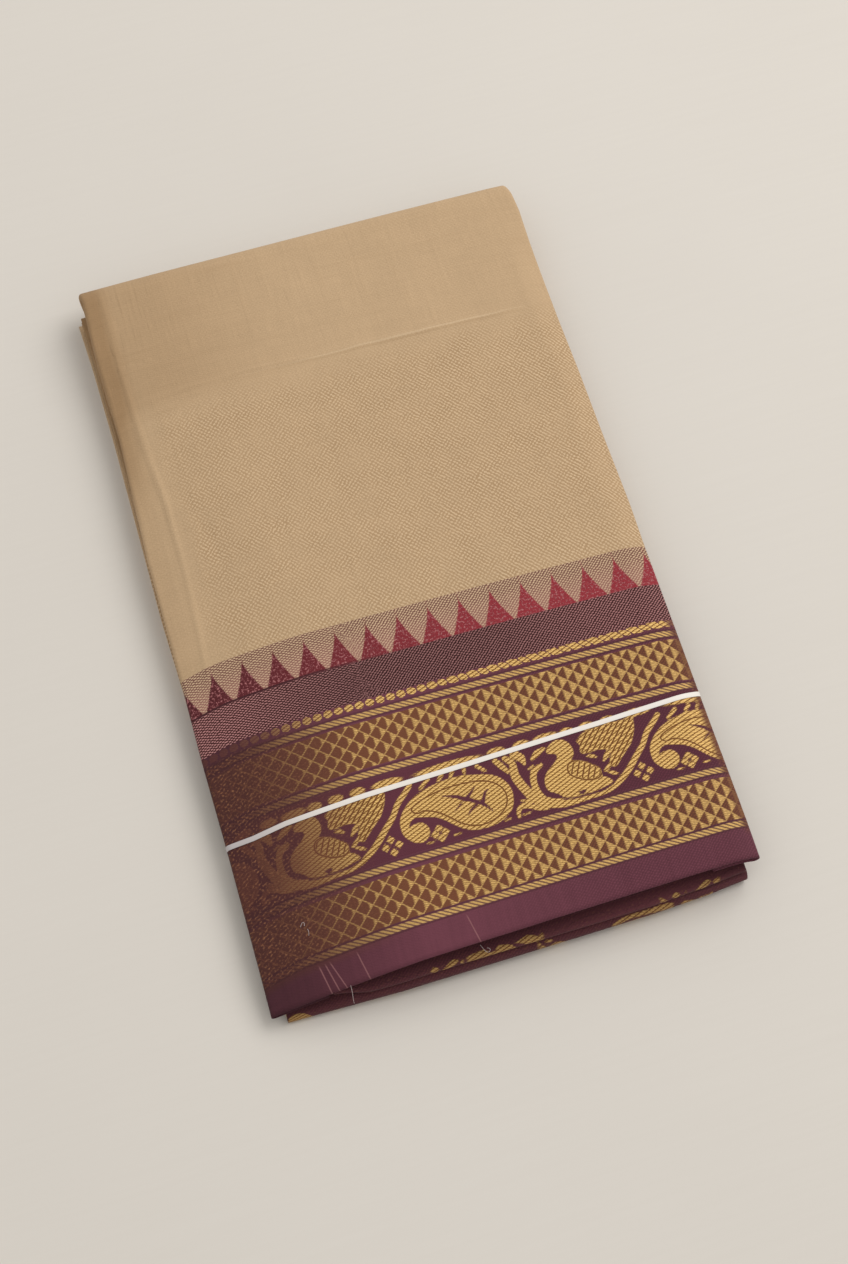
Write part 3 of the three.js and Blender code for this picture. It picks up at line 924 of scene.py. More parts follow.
def temple_row(s, yarns, dot):
    """Red points with stepped sides, on a pale dotted ground that runs into the field."""
    bent = s.u - s.u * s.u * BORDER_BEND
    pitch = bpy.context.scene.saree_weave.temple_pitch / MM
    stepped = s.math("FLOOR", (s.v - TEMPLE_BASE) * 1.1) / 1.1
    share = s.most(1 - stepped / (TEMPLE_TIP - TEMPLE_BASE), 0)
    half = s.math("POWER", share, 1.3) * TEMPLE_HALF
    across = abs(s.fract((bent - TEMPLE_TIP_U) / pitch + 0.5) - 0.5) * pitch
    point = s.step(half - across + s.fibre * 0.15, -0.25, 0.25)
    # painted shade: the red darkens towards the left
    red = s.layered(
        SHADED_LEFT_RED,
        (s.step(s.u, *RED_COMES), yarns.temple),
        (s.step(s.floats + s.speckle, 0.4, 1.1) * 0.6, DARK_RED),
        (s.step(s.speckle + s.fibre * 0.8, 0, 0.8) * 0.8, PALE_RED))
    risen = s.step(s.v, TEMPLE_BASE + 2, TEMPLE_END - 2)
    pale = s.mix(dot, s.mix(risen, *TEMPLE_GROUND),
                 s.mix(risen * 0.25 + 0.7, yarns.mauve, yarns.field))
    foot = s.band(s.v, TEMPLE_BASE - 0.1, TEMPLE_BASE + 0.9)
    return s.layered(pale, (point, red), (foot * s.left, BASE_LINE))


def loose_wrinkles(s):
    """Fine wrinkles both ways, where the cloth lies loose at the back and left, for relief and
    painted shade.
    """
    loose = (s.step(s.v + s.blotch * 20, *LOOSE_BACK) +
             s.fade(s.u + s.blotch * 8, *LOOSE_LEFT) * 0.5)
    return s.most(s.streaks(s.place, (14, 190, 1), 3),
                  s.streaks(s.place, (230, 16, 1), 3)) * loose


def beige_field(s, yarns, wrinkle):
    """Clear dots, which give way to plain streaks at the back and left, with painted shade and
    highlight.
    """
    visible = ((1 - s.step(s.v + s.blotch * 6, *FIELD_GOES) * 0.85) *
               (s.step(s.u + s.blotch * 4, *FIELD_COMES) * 0.85 + 0.15))
    clear = 0.66 + s.noise(s.place, 80) * 0.3 + s.step(s.u, *RIGHT_PART) * 0.15
    dotted = s.mix(weave_dots(s, FIELD_DOTS, 0.3), yarns.field_shade, yarns.field)
    edge = s.fade(s.u + s.blotch, *SHADED_LEFT[0])
    shaded = (edge * (s.step(s.v, *SHADED_BACK[0]) * 0.7 + 0.2) +
              s.step(s.v, *SHADED_BACK[1]) * s.fade(s.u, *SHADED_LEFT[1]) * 0.4)
    pressed = s.v - OLD_FOLD_RIDGE - s.blotch * 0.5
    rim = s.step(s.u + s.weft * 20, *CREASE_LIGHT_RUN[0]) * s.fade(s.u, *CREASE_LIGHT_RUN[1]) * 0.26
    return s.layered(
        s.mix(0.5, yarns.field, yarns.field_shade),
        (visible * clear, dotted),
        (s.step(s.weft, 0.4, 2.2) * 0.4, yarns.field_shade),
        # painted shade in the fine wrinkles
        (s.step(wrinkle, 0.2, 1.6) * 0.5, yarns.field_shade),
        # painted shade at the left edge and at the back
        (shaded, s.mix(s.left, yarns.field_shade, SHADED_LEFT_FIELD)),
        # painted highlight on the old fold's ridge, and painted shade just below it
        (s.fade(abs(pressed), 0.1, 0.65) * rim, CREASE_HIGHLIGHT),
        (s.fade(abs(pressed + 1.3), 0.2, 1) * rim, yarns.field_shade))


def gold_thread(s, yarns, ropes, beside, fields, veins):
    """Gold with its twill, floats and lines in shade, and dull where it lies in painted shade.
    """
    shade = s.most(s.step(s.twill + s.fibre * 0.3, 0.4, 0.9) * (1 - fields * 0.7),
                   s.step(s.floats + s.fibre * 0.3, 0.3, 0.9) * 0.7) * (1 - beside * 0.8)
    shade = s.most(shade, s.most(veins, ropes * 0.4))
    return s.mix(s.gold_light, s.mix(0.4, yarns.gold_shade, yarns.maroon),
                 s.mix(shade, yarns.gold, yarns.gold_shade))


def saree_cloth(name, spans=()):
    """The woven cloth: the gold over the border's ground, the temple points and field."""
    yarns = bpy.context.scene.saree_yarns
    s = Cloth(name, spans)
    dot = border_dots(s)
    ropes, beside = rope_rows(s)
    fields, lattice = lattice_rows(s)
    beads = bead_row(s)
    solid, veins, figures = figure_band(s)
    wrinkle = loose_wrinkles(s)
    gold = s.least(ropes + lattice + beads + figures, 1) * s.showing
    # gold in painted shade covers less of the ground
    cover = gold * (s.gold_light * 0.72 + 0.28)
    woven = s.layered(
        border_ground(s, yarns, dot, beside, fields, solid),
        (s.step(s.v, TEMPLE_BASE - 0.2, TEMPLE_BASE + 0.2), temple_row(s, yarns, dot)),
        (s.step(s.v, TEMPLE_END - 0.3, TEMPLE_END + 0.3), beige_field(s, yarns, wrinkle)),
        (cover, gold_thread(s, yarns, ropes, beside, fields, veins)))
    slub = s.streaks(s.place, (420, 28, 1), 2) * s.fade(s.v, *SELVEDGE)
    uneven = (1 + s.weft * 0.045 + s.warp * 0.04 + slub * 0.09 + s.fibre * 0.07 +
              s.blotch * 0.035)
    # painted shade: a fold's front is darker where the folds stack over it
    if spans:
        uneven = uneven * (s.step(s.v, *FOLD_FRONT["light"]) * 0.18 + 0.82)
    relief = (figures * 0.16 - (s.twill * 0.1 + s.floats * 0.06) * gold + ropes * 0.14 +
              lattice * 0.1 + beads * 0.14 + dot * 0.05 + s.weft * 0.02 + s.warp * 0.015 +
              s.fibre * 0.02 + wrinkle * 0.22 + slub * 0.04)
    return s.finish(
        {"Base Color": s.scaled(woven, s.grey(uneven)),
         "Roughness": 0.88 - cover * s.gold_light * 0.36,
         "Metallic": cover * s.gold_light * 0.3},
        relief * bpy.context.scene.saree_weave.relief,
        Sheen_Weight=0.07, Sheen_Roughness=0.5, Specular_IOR_Level=0.18)


# ---------------------------------------------------------------- other materials

TIE_SHADE = (-0.116, -0.06)  # in metres across the pack: its left part is darker


def tie_strip():
    s = Shader("tie_strip")
    place = s.object_place()
    ribs = s.streaks(place, (120, 2600, 900), 2)
    scuff = s.noise(place, 160, 3)
    across = s.value(s.node("ShaderNodeSeparateXYZ", None, {0: place}))
    body = s.layered(
        bpy.context.scene.saree_yarns.tie,
        (s.step(scuff, 0.2, 1.6) * 0.22, tone(206, 200, 198)),
        (s.fade(across, *TIE_SHADE) * 0.75, tone(170, 162, 166)))
    return s.finish({"Base Color": body, "Roughness": 0.42 + scuff * 0.06},
                    ribs * 0.02, Specular_IOR_Level=0.45)


def thread_fibre():
    s = Shader("thread_fibre")
    strand = s.noise(s.object_place(), 1500)
    body = s.mix(s.step(strand, -1, 1), tone(150, 128, 128), tone(214, 200, 196))
    return s.finish({"Base Color": body, "Roughness": 0.8 + strand * 0.05},
                    strand * 0.03, Sheen_Weight=0.3)


def floor_paint():
    s = Shader("floor_paint")
    place = s.object_place()
    cloud = s.noise(place, 6)
    grain = s.streaks(place, (14, 420, 1), 3)
    body = s.mix(s.step(cloud + grain * 0.6, -2.4, 2.4) * 0.3,
                 bpy.context.scene.saree_stage.floor, tone(212, 205, 195))
    return s.finish({"Base Color": body, "Roughness": 0.62 + grain * 0.04},
                    grain * 0.01, Specular_IOR_Level=0.3)


# ---------------------------------------------------------------- the leaf on top

TOP_COLUMNS = 226
# Rows of the grid: from and to, in millimetres from the selvedge, and how many. They lie
# closer at the figures and at the crease before the back fold.
TOP_ROWS = ((0, 45, 20), (45, 85, 52), (85, 166, 26), (166, 296, 31), (296, 312, 20))
LAST_ROWS = 24
TURN_STEPS = 8
RETURN_STEPS = 6
BACK_ARC = 22  # length of cloth round the fold at the back
SOFT_WAVE = 0.22  # height of the soft waves
TIE_PRESS = (2, 12)  # from the tie: it presses the cloth flat


def leaf_line(y, tuck):
    """Across the top leaf: x, the depth under the leaf, where its height is read, and u."""
    left_start = LEFT_TURN - read(OUTLINE, from_front(y), "left")
    right_start = read(OUTLINE, from_front(y), "right") - RIGHT_TURN
    inward = np.linspace(0, 1, RETURN_STEPS + 1)[1:]
    angle = np.linspace(0, math.pi, TURN_STEPS + 1)
    left_ply = left_start + blend(LEFT_RETURN, TUCKED_RETURN, tuck) * inward[::-1]
    right_ply = right_start - blend(RIGHT_RETURN, TUCKED_RETURN, tuck) * inward
    top = np.linspace(left_start, right_start, TOP_COLUMNS + 1)[1:-1]
    same = np.ones_like(inward)
    x = (left_ply, left_start - LEFT_TURN * np.sin(angle[::-1]), top,
         right_start + RIGHT_TURN * np.sin(angle), right_ply)
    depth = (2 * LEFT_TURN * same, LEFT_TURN * (1 - np.cos(angle[::-1])), 0 * top,
             RIGHT_TURN * (1 - np.cos(angle)), 2 * RIGHT_TURN * same)
    over = (left_ply, left_start + 0 * angle, top, right_start + 0 * angle, right_ply)
    u = (left_start - math.pi * LEFT_TURN - (left_ply - left_start),
         left_start - LEFT_TURN * angle[::-1], top, right_start + RIGHT_TURN * angle,
         right_start + math.pi * RIGHT_TURN + (right_start - right_ply))
    return tuple(np.concatenate(parts) for parts in (x, depth, over, u))


def top_leaf_sheet():
    crease = bpy.context.scene.saree_folds.crease
    fold_start = LENGTH / 2 - BACK_FOLD - WALL / 2
    fold_v = fold_start + FRONT_EDGE
    stations = np.concatenate([np.linspace(*rows)[:-1] for rows in TOP_ROWS] +
                              [np.linspace(TOP_ROWS[-1][1], fold_v, LAST_ROWS)])
    points, u_rows, v_rows = [], [], []

    def add(x, y, z, u, v):
        points.append(lean(x, y, z))
        u_rows.append(u)
        v_rows.append(np.broadcast_to(v, u.shape))

    for v in stations:
        y = v - FRONT_EDGE
        x, depth, over, u = leaf_line(y, 0)
        pressed = smooth(np.abs(v - tie_line(over)), *TIE_PRESS)
        form = crease_height(CREASES, over, v) + SOFT_WAVE * waves(over, v, 95, 11)
        z = top_height(over, y) + crease * pressed * form
        add(x, y, z - depth, u, v)
    for turn in np.linspace(0, math.pi, 13)[1:]:
        x, depth, over, u = leaf_line(fold_start + BACK_FOLD * math.sin(turn), turn / math.pi)
        high = top_height(over, fold_start)
        low = lower_top(over, fold_start) + GAP + WALL / 2
        rise = (high - low) / 2 - depth
        reach = (BACK_FOLD - depth) * math.sin(turn)
        add(x, fold_start + reach, (high + low) / 2 + rise * math.cos(turn), u,
            fold_v + BACK_ARC * turn / math.pi)
    for inward in np.linspace(0, UNDER_REACH, 9)[1:]:
        y = fold_start - inward
        x, depth, over, u = leaf_line(y, 1)
        z = lower_top(over, y) + GAP + WALL / 2 + depth
        add(x, y, z, u, fold_v + BACK_ARC + inward)
    return {"points": outward(np.array(points), WALL / 2), "u": np.array(u_rows),
            "v": bent_border(np.array(u_rows), np.array(v_rows))}


def bent_border(u, v):
    """The border's upper lines fall to the right, and all dip where the leaf turns down."""
    share = np.clip((v - TILT_START) / TILT_RUN, 0, 1)
    tilt = BORDER_TILT * share * np.clip(u, -TILT_REACH, TILT_REACH)
    turned_down = np.clip((DIP_START - u) / DIP_RUN, 0, 1.2)
    return v + tilt + DIP * turned_down ** 1.6


class SAREE_OT_top_leaf(bpy.types.Operator):
    """The leaf on top, with the border, its turned edges and the fold at the back"""
    bl_idname = "saree.top_leaf"
    bl_label = "Top leaf"

    def execute(self, context):
        cloth = saree_cloth("leaf_cotton")
        mesh = cloth_mesh("leaf_cloth", [top_leaf_sheet()])
        piece = add_piece("leaf_cloth", mesh, cloth, "leaf_cloth", "top_leaf")
        give_thickness(piece, context.scene.saree_folds.thickness)
        return {"FINISHED"}


# ---------------------------------------------------------------- the fold between

MIDDLE_U = 30  # u where the fold's middle lies; it shows the cloth turned over
MIDDLE_V = 53.2  # v along its front line
MIDDLE_GOLD = ((-43, -27), (-25, 9), (63, 75), (79, 91))  # lengths of its front with gold
MIDDLE_COLUMNS = 199
MIDDLE_INSET = 1.6  # how far its front line lies behind that of the leaf underneath
MIDDLE_TAPER = 3.2  # how far its left end lies behind its front line
TAPER_START = 66  # across, to the left


def middle_fold_sheet():
    x = np.linspace(-MIDDLE_LEFT, MIDDLE_RIGHT, MIDDLE_COLUMNS)
    start = -(read(FRONT_FOLD, x, "reach") - MIDDLE_INSET) + MIDDLE_TURN + WALL / 2
    start = start + 0.35 * waves(x, 0 * x, 60, 21)
    start = start + MIDDLE_TAPER * smooth(-x, TAPER_START, MIDDLE_LEFT)
    flat = np.linspace(0, MIDDLE_REACH, 9)
    angle = np.linspace(0, math.pi, 9)
    inward = np.concatenate([flat[:0:-1], 0 * angle, flat[1:]])
    lift = np.concatenate([0 * flat[1:], MIDDLE_TURN * (1 - np.cos(angle)),
                           2 * MIDDLE_TURN + 0 * flat[1:]])
    bulge = np.concatenate([0 * flat[1:], MIDDLE_TURN * np.sin(angle), 0 * flat[1:]])
    radius = MIDDLE_TURN + WALL / 2
    arc = np.concatenate([flat[:0:-1] + radius * math.pi / 2, radius * (math.pi / 2 - angle),
                          -flat[1:] - radius * math.pi / 2])
    y = start[None, :] + (inward - bulge)[:, None]
    base = start[None, :] + inward[:, None]
    z = lower_top(x[None, :], base) + 2 * GAP + WALL / 2 + lift[:, None]
    points = outward(lean(x[None, :] + 0 * y, y, z), WALL / 2)
    return {"points": points, "u": MIDDLE_U - x[None, :] + 0 * y,
            "v": MIDDLE_V + arc[:, None] + 0 * y}


class SAREE_OT_middle_fold(bpy.types.Operator):
    """The thin fold of cloth that shows under the top leaf's selvedge"""
    bl_idname = "saree.middle_fold"
    bl_label = "Middle fold"

    def execute(self, context):
        cloth = saree_cloth("fold_cotton", [
            (MIDDLE_U - end, MIDDLE_U - start) for start, end in MIDDLE_GOLD])
        mesh = cloth_mesh("fold_cloth", [middle_fold_sheet()])
        piece = add_piece("fold_cloth", mesh, cloth, "border_cloth", "middle_fold")
        give_thickness(piece, context.scene.saree_folds.thickness)
        return {"FINISHED"}


# ---------------------------------------------------------------- the leaf underneath

UNDER_U = 101  # u where the leaf's middle lies, and v along its front line
UNDER_V = 51.4
UNDER_TILT = -0.034  # how far the folded border runs askew
UNDER_GOLD = ((-105, -94), (7, 22), (41, 69), (73, 91))
UNDER_ROWS = (270, 34, 1)  # coarse rows from the back, then close ones before the turn
UNDER_COLUMNS = 227
FRONT_BLEND = 40  # from the turn: over this length the leaf takes up its uneven front line


def under_leaf_sheet():
    def high(x, y):
        return lower_top(x, y) - WALL / 2

    def line(y):
        left = -read(LOWER_LEFT, from_front(y), "edge")
        return np.linspace(left, UNDER_RIGHT, UNDER_COLUMNS)

    front = line(-FRONT_EDGE)
    radius = (high(front, -FRONT_EDGE) - FLOOR_LIFT) / 2
    start = radius + WALL / 2 - read(FRONT_FOLD, front, "reach")
    start_y = float(start.mean())
    coarse, close, last = UNDER_ROWS
    reach = UNDER_BACK - start_y
    lengthwise = UNDER_BACK - np.concatenate([
        np.linspace(0, coarse, 55), np.linspace(coarse, reach - close, 20)[1:],
        np.linspace(reach - close, reach - last, 36)[1:]])
    points, v_rows, x_rows = [], [], []
    arc = float(radius.mean()) * math.pi / 2
    for y in lengthwise:
        x = line(y)
        near = smooth(60 - np.abs(y - BAND_Y), 0, 30)
        slanted = y + BAND_TILT * x * near
        fold = smooth(np.abs(y - start_y), 0, FRONT_BLEND)
        slanted = slanted + (start - start_y) * (1 - fold)
        creased = crease_height(UNDER_CREASES, x, from_front(y))
        z = FLOOR_LIFT + channel(x, slanted) + np.maximum(creased, 0)
        points.append(lean(x, slanted, z))
        v_rows.append(UNDER_V + UNDER_TILT * x + arc + (y - start_y))
        x_rows.append(x)
    for turn in np.linspace(0, math.pi, 17):
        z = FLOOR_LIFT + radius * (1 - math.cos(turn))
        points.append(lean(front, start - radius * math.sin(turn), z))
        v_rows.append(UNDER_V + UNDER_TILT * front + arc * (1 - 2 * turn / math.pi))
        x_rows.append(front)
    for inward in np.linspace(0, RETURN_REACH, 11)[1:]:
        x = line(-FRONT_EDGE + inward)
        y = start + inward
        z = blend(high(x, -FRONT_EDGE), high(x, y), min(inward / 15, 1))
        points.append(lean(x, y, z))
        v_rows.append(UNDER_V + UNDER_TILT * x - arc - inward)
        x_rows.append(x)
    return {"points": outward(np.array(points), WALL / 2),
            "u": UNDER_U - np.array(x_rows), "v": np.array(v_rows)}


class SAREE_OT_under_leaf(bpy.types.Operator):
    """The leaf that lies on the table and turns up round the lower bundle"""
    bl_idname = "saree.under_leaf"
    bl_label = "Leaf underneath"

    def execute(self, context):
        cloth = saree_cloth("under_cotton", [
            (UNDER_U - end, UNDER_U - start) for start, end in UNDER_GOLD])
        mesh = cloth_mesh("under_cloth", [under_leaf_sheet()])
        piece = add_piece("under_cloth", mesh, cloth, "under_cloth", "under_leaf")
        give_thickness(piece, context.scene.saree_folds.thickness)
        return {"FINISHED"}


# ---------------------------------------------------------------- the plies between

PLY_CELLS = (36, 62)  # across and along
PLY_GAP = 0.12  # between neighbouring plies
PLY_EDGE = 0.35  # radius of a ply's rounded edge
PLY_INSET = (0.2, 2.6)  # least and most that a ply's edge lies in
UPPER_DEPTH = 6.4  # least height of the upper bundle, which its plies share
UPPER_LEFT = (8, 15.5)  # inset of its lowest and highest ply
UPPER_RIGHT = 7
UPPER_FRONT = 9
LOWER_DEPTH = 4.6
LOWER_FRONT = 6.5
LOWER_INSET = {"left": (20, 0.6), "along": (10, 130)}  # at the front, and from there on
# Where the bundles make room for the cloth beside them: the start and end of each step.
MIDDLE_STEP = (-125, -95)  # over the middle fold, along the pack
TUCK_STEP = (80, 112)  # over the ply round the back fold
LEFT_STEP = (-72, -60)  # under the top leaf's turned edges, across the pack
RIGHT_STEP = (62, 77)
RETURN_STEP = (-115, -85)  # under the lower leaf's return
CHANNEL_STEP = (30, 55)  # from the tie


def ply_sheets(count, seed, left, right, front, back, low, high):
    """A bundle of plies between two surfaces. Each one's edges lie a little in or out."""
    draw = np.random.default_rng(seed)
    columns, rows = PLY_CELLS
    sheets = []
    for ply in range(count):
        share = (ply + 0.5) / count
        insets = draw.uniform(*PLY_INSET, 4)
        phase = draw.integers(1000)
        t = np.linspace(0, 1, rows + 1)[:, None]
        s = np.linspace(0, 1, columns + 1)[None, :]
        plain = blend(front(0 * t) + insets[0], back - insets[1], t)
        wander = 0.7 * waves(plain, 0 * plain, 90, phase)
        first = left(plain, share) + insets[2] + wander
        last = right(plain, share) - insets[3] + wander
        x = blend(first, last, s)
        y = blend(front(x) + insets[0] + 0.5 * waves(x, 0 * x, 70, phase + 1),
                  back - insets[1] + 0.5 * waves(x, 0 * x, 60, phase + 2), t)
        z = blend(low(x, y), high(x, y), share)
        sheets.append({"points": lean(x, y, z), "u": x + 0 * y, "v": y + FRONT_EDGE + 0 * x})
    return sheets


def add_plies(name, sheets, gap, node):
    """The plies as one piece, each with rounded edges and as thick as the gap allows."""
    mesh = cloth_mesh(name, sheets)
    piece = add_piece(name, mesh, saree_cloth(name + "_cotton"), "folded_layers", node)
    give_thickness(piece, (gap - PLY_GAP) * MM, offset=0, name="Ply thickness")
    round_edges(piece, PLY_EDGE)


def upper_plies():
    count = bpy.context.scene.saree_folds.upper_plies
    over_middle = WALL + 2 * MIDDLE_TURN + GAP + STACK_GAP

    def left(y, share):
        return blend(*UPPER_LEFT, share) - read(OUTLINE, from_front(y), "left")

    def low(x, y):
        return (lower_top(x, y) + GAP + over_middle * (1 - smooth(y, *MIDDLE_STEP)) +
                (WALL + STACK_GAP) * smooth(y, *TUCK_STEP))

    def high(x, y):
        return (top_height(x, y) - WALL / 2 - STACK_GAP -
                2 * LEFT_TURN * (1 - smooth(x, *LEFT_STEP)) -
                2 * RIGHT_TURN * smooth(x, *RIGHT_STEP))

    sheets = ply_sheets(
        count, 5, left=left, low=low, high=high,
        right=lambda y, share: read(OUTLINE, from_front(y), "right") - UPPER_RIGHT,
        front=lambda x: UPPER_FRONT - FRONT_EDGE + 0 * x,
        back=LENGTH / 2 - BACK_FOLD - WALL / 2 - 1)
    add_plies("upper_plies", sheets, UPPER_DEPTH / count, "upper_folds")


def lower_plies():
    count = bpy.context.scene.saree_folds.lower_plies
    at_front, behind = LOWER_INSET["left"]

    def left(y, share):
        inset = blend(at_front, behind, smooth(from_front(y), *LOWER_INSET["along"]))
        return inset - read(LOWER_LEFT, from_front(y), "edge")

    def low(x, y):
        room = 1 - smooth(np.abs(y - BAND_Y), *CHANNEL_STEP)
        return WALL + STACK_GAP + CHANNEL_LIFT * room

    def high(x, y):
        return (lower_top(x, y) - GAP -
                (WALL + STACK_GAP) * (1 - smooth(y, *RETURN_STEP)))

    sheets = ply_sheets(
        count, 8, left=left, low=low, high=high,
        right=lambda y, share: UNDER_RIGHT - behind + 0 * y,
        front=lambda x: LOWER_FRONT - read(FRONT_FOLD, x, "reach"),
        back=UNDER_BACK - 0.5)
    add_plies("lower_plies", sheets, LOWER_DEPTH / count, "lower_folds")


class SAREE_OT_plies(bpy.types.Operator):
    """The folded plies of both bundles, with uneven edges"""
    bl_idname = "saree.plies"
    bl_label = "Folded plies"

    def execute(self, context):
        upper_plies()
        lower_plies()
        return {"FINISHED"}


# ---------------------------------------------------------------- the tie

TIE_WIDTH = 2.4
TIE_THICKNESS = 0.22
TIE_CLEARANCE = 0.12
TIE_STEPS = 240
TIE_RISE = (4, 9)  # above the table: it goes over from its line below to the one on top
TABLE_GAP = 0.2  # between the tie and the table


def hull(points):
    """The convex outline of points, anticlockwise."""
    ordered = sorted(map(tuple, points))

    def half(places):
        chain = []
        for place in places:
            while len(chain) > 1:
                (ax, ay), (bx, by) = chain[-2:]
                if (bx - ax) * (place[1] - ay) - (by - ay) * (place[0] - ax) > 0:
                    break
                chain.pop()
            chain.append(place)
        return chain[:-1]

    return half(ordered) + half(ordered[::-1])


def tie_outline():
    """The pack's outline under the tie, as (x, z) places pushed out to the tie's middle."""
    x, depth, over, _ = leaf_line(BAND_Y, 0)
    rim = list(zip(x, top_height(over, tie_line(over) - FRONT_EDGE) - depth))
    left = -float(read(LOWER_LEFT, from_front(BAND_Y), "edge"))
    floor = WALL / 2 + TABLE_GAP + TIE_THICKNESS + TIE_CLEARANCE
    rim += [(left, floor), (UNDER_RIGHT, floor)]
    reach = WALL / 2 + TIE_CLEARANCE + TIE_THICKNESS / 2
    around = np.linspace(0, math.tau, 24, endpoint=False)
    return hull((px + reach * math.cos(a), pz + reach * math.sin(a))
                for px, pz in rim for a in around)


def tie_mesh():
    """An open tube whose rows follow the pack's outline, on the tie's line."""
    outline = tie_outline()
    outline = np.array(outline + outline[:1])
    lengths = np.hypot(*np.diff(outline, axis=0).T)
    along = np.concatenate([[0], np.cumsum(lengths)])
    form = bmesh.new()
    bmesh.ops.create_cone(form, cap_ends=False, segments=TIE_STEPS, radius1=1, radius2=1,
                          depth=1)
    shift = pack_shift()
    for vert in form.verts:
        turn = math.atan2(vert.co.y, vert.co.x) % math.tau
        place = turn / math.tau * along[-1]
        x, z = (float(np.interp(place, along, outline[:, k])) for k in (0, 1))
        above = float(smooth(z, *TIE_RISE))
        y = blend(BAND_Y + BAND_TILT * x, float(tie_line(x)) - FRONT_EDGE, above)
        y -= math.copysign(TIE_WIDTH / 2, vert.co.z)
        vert.co = Vector(lean(x, y, z)) * MM + shift
    for face in form.faces:
        face.smooth = True
    return as_mesh("tie", form)


class SAREE_OT_tie(bpy.types.Operator):
    """The thin white strip tied round the pack over its border"""
    bl_idname = "saree.tie"
    bl_label = "Tie"

    def execute(self, context):
        piece = add_piece("tie", tie_mesh(), tie_strip(), "band", "tie_band")
        give_thickness(piece, TIE_THICKNESS * MM, offset=0, name="Strip thickness")
        round_edges(piece, TIE_THICKNESS * 0.4)
        return {"FINISHED"}


# ---------------------------------------------------------------- loose threads

THREAD_RADIUS = 0.11
# Fine threads and lint that cling to the cloth: places (across, from the selvedge, above
# the leaf), where a place before the selvedge hangs down the front.
THREADS = (
    ((-76.8, 0.3, 0.2), (-76.6, -1.8, -2.2), (-76.9, -4.4, -5), (-76.7, -5.2, -7)),
    ((-18.6, 0.2, -4.8), (-17.2, -3.2, -5.6), (-15.6, -4, -5), (-14.8, -2.4, -4.6),
     (-16.2, -1.8, -5)),
    ((-90.6, 31.8, 0.2), (-89.6, 33.6, 0.5), (-88.4, 33, 0.4), (-89, 31.6, 0.3)),
    ((-88.2, 27, 0.2), (-87.6, 28.6, 0.3), (-88, 30, 0.2)),
)


def thread_curve():
    curve = bpy.data.curves.new("loose_threads", "CURVE")
    curve.dimensions = "3D"
    curve.bevel_depth = THREAD_RADIUS * MM
    curve.bevel_resolution = 1
    curve.use_fill_caps = True
    curve.resolution_u = 6
    shift = pack_shift()
    for places in THREADS:
        spline = curve.splines.new("NURBS")
        spline.points.add(len(places) - 1)
        spline.use_endpoint_u = True
        spline.order_u = 3
        for point, (x, v, above) in zip(spline.points, places):
            y = v - FRONT_EDGE
            z = float(top_height(x, y)) + WALL / 2 + above
            point.co = (*(Vector(lean(x, y, z)) * MM + shift), 1)
    return curve


class SAREE_OT_threads(bpy.types.Operator):
    """A few loose threads and bits of lint"""
    bl_idname = "saree.threads"
    bl_label = "Loose threads"

    def execute(self, context):
        curve = thread_curve()
        made = bpy.data.objects.new("thread_curve", curve)
        mesh = bpy.data.meshes.new_from_object(made)
        bpy.data.objects.remove(made)
        bpy.data.curves.remove(curve)
        mesh.name = "loose_threads"
        mesh.shade_smooth()
        add_piece("loose_threads", mesh, thread_fibre(), "leaf_cloth")
        return {"FINISHED"}


# ---------------------------------------------------------------- floor, light and camera

FLOOR_SIZE = 3.0  # in metres, as all of the light's sizes and places
ROOM_COLOUR = (1.0, 0.985, 0.965, 1)
WINDOW_SIZE = (2.4, 2)
WINDOW_PLACE = (1.85, 0.8, 2.2)  # it faces the pack
WINDOW_COLOUR = (1.0, 0.99, 0.98)
CAMERA_PLACE = (-196.2, -523.1, 996.0)  # in millimetres, in the cloth's own frame
CAMERA_PITCH = 62.0  # degrees below the horizon
CAMERA_YAW = 21.84  # from +Y towards +X
CAMERA_ROLL = 3.3
IMAGE_HEIGHT = 1264
FOCAL_PIXELS = 2440.5  # focal length, in pixels of a picture of that height


def camera_turn():
    """The camera's axes: right, up and back."""
    yaw, pitch, roll = map(math.radians, (CAMERA_YAW, CAMERA_PITCH, CAMERA_ROLL))
    forward = Vector((math.sin(yaw) * math.cos(pitch), math.cos(yaw) * math.cos(pitch),
                      -math.sin(pitch)))
    level = Vector((math.cos(yaw), -math.sin(yaw), 0))
    up = level.cross(forward)
    right = level * math.cos(roll) + up * math.sin(roll)
    return Matrix((right, right.cross(forward), -forward)).transposed()


def add_floor(scene):
    form = bmesh.new()
    bmesh.ops.create_grid(form, x_segments=8, y_segments=8, size=FLOOR_SIZE / 2)
    floor = bpy.data.objects.new("floor", as_mesh("floor", form))
    floor.data.materials.append(floor_paint())
    scene.collection.objects.link(floor)


def add_light(scene):
    world = bpy.data.worlds.new("room")
    world.use_nodes = True
    room = world.node_tree.nodes["Background"]
    room.inputs["Color"].default_value = ROOM_COLOUR
    room.inputs["Strength"].default_value = scene.saree_stage.sky
    scene.world = world

    window = bpy.data.lights.new("window", "AREA")
    window.shape = "RECTANGLE"
    window.size, window.size_y = WINDOW_SIZE
    window.energy = scene.saree_stage.window
    window.color = WINDOW_COLOUR
    lamp = bpy.data.objects.new("window", window)
    lamp.location = WINDOW_PLACE
    lamp.rotation_euler = (-Vector(lamp.location)).to_track_quat("-Z", "Y").to_euler()
    scene.collection.objects.link(lamp)


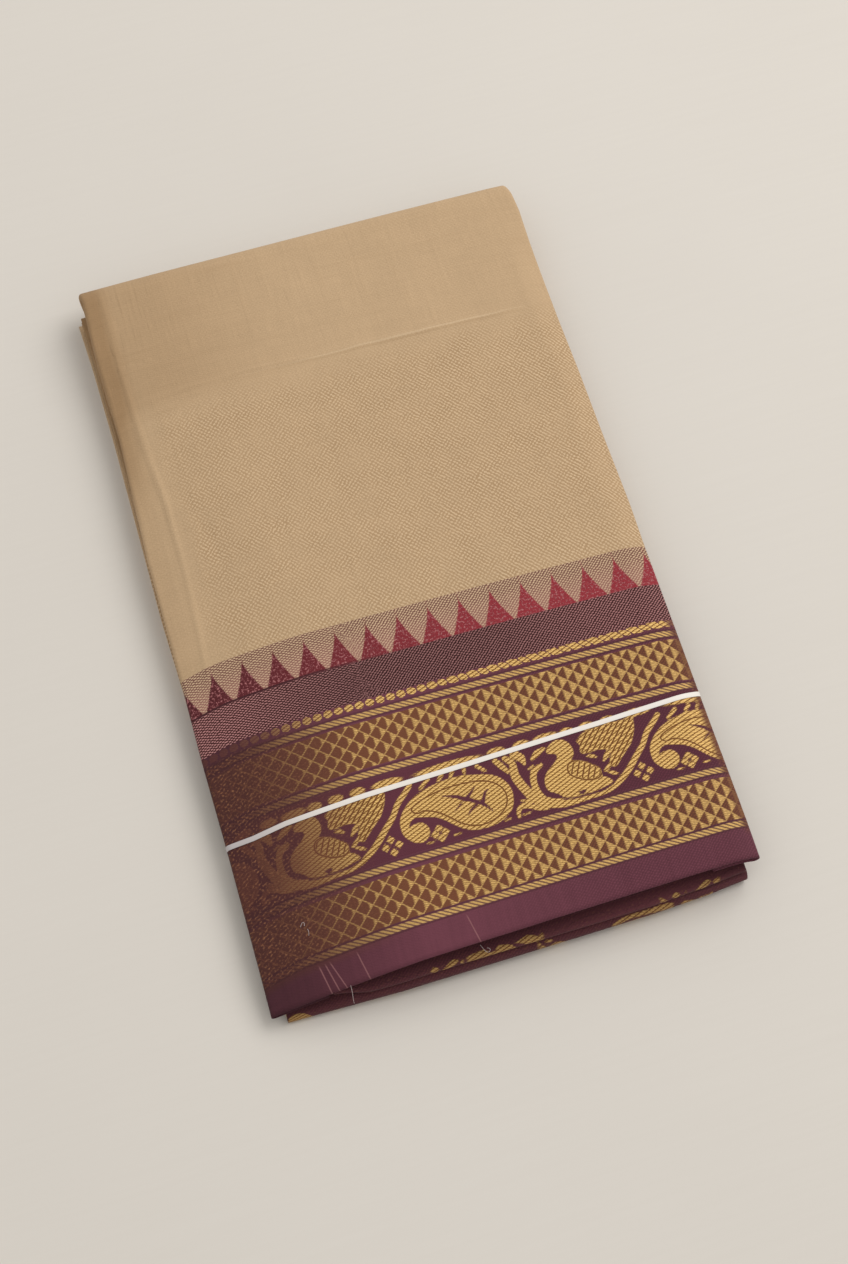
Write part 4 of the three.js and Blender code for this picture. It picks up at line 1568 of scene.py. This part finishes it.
def add_camera(scene):
    lens = bpy.data.cameras.new("camera")
    lens.lens = FOCAL_PIXELS / IMAGE_HEIGHT * lens.sensor_width
    lens.clip_start = 0.05
    camera = bpy.data.objects.new("camera", lens)
    place = Matrix.Translation(Vector(CAMERA_PLACE) * MM + pack_shift())
    camera.matrix_world = place @ camera_turn().to_4x4()
    scene.collection.objects.link(camera)
    scene.camera = camera


class SAREE_OT_stage(bpy.types.Operator):
    """A plain pale floor, soft light and the camera"""
    bl_idname = "saree.stage"
    bl_label = "Stage"

    def execute(self, context):
        add_floor(context.scene)
        add_light(context.scene)
        add_camera(context.scene)
        context.scene.view_settings.view_transform = "Standard"
        return {"FINISHED"}


# ---------------------------------------------------------------- add-on

OPERATORS = (SAREE_OT_stage, SAREE_OT_top_leaf, SAREE_OT_middle_fold, SAREE_OT_under_leaf,
             SAREE_OT_plies, SAREE_OT_tie, SAREE_OT_threads)
SETTINGS = {"saree_yarns": SareeYarns, "saree_weave": SareeWeave, "saree_folds": SareeFolds,
            "saree_stage": SareeStage}


class SAREE_PT_panel(bpy.types.Panel):
    """Lists the saree's pieces and settings"""
    bl_label = "Folded saree"
    bl_idname = "SAREE_PT_panel"
    bl_space_type = "VIEW_3D"
    bl_region_type = "UI"
    bl_category = "Saree"

    def draw(self, context):
        for name, group in SETTINGS.items():
            box = self.layout.box()
            box.label(text=group.__doc__)
            for key in group.__annotations__:
                box.prop(getattr(context.scene, name), key)
        for operator in OPERATORS:
            self.layout.operator(operator.bl_idname)


def register():
    for group in SETTINGS.values():
        bpy.utils.register_class(group)
    for name, group in SETTINGS.items():
        setattr(bpy.types.Scene, name, bpy.props.PointerProperty(type=group))
    for kind in (*OPERATORS, SAREE_PT_panel):
        bpy.utils.register_class(kind)


def unregister():
    for kind in (SAREE_PT_panel, *reversed(OPERATORS)):
        bpy.utils.unregister_class(kind)
    for name, group in reversed(SETTINGS.items()):
        delattr(bpy.types.Scene, name)
        bpy.utils.unregister_class(group)


def main():
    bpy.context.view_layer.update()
    register()
    bpy.ops.saree.stage()
    bpy.ops.saree.top_leaf()
    bpy.ops.saree.middle_fold()
    bpy.ops.saree.under_leaf()
    bpy.ops.saree.plies()
    bpy.ops.saree.tie()
    bpy.ops.saree.threads()


if __name__ == "__main__":
    main()
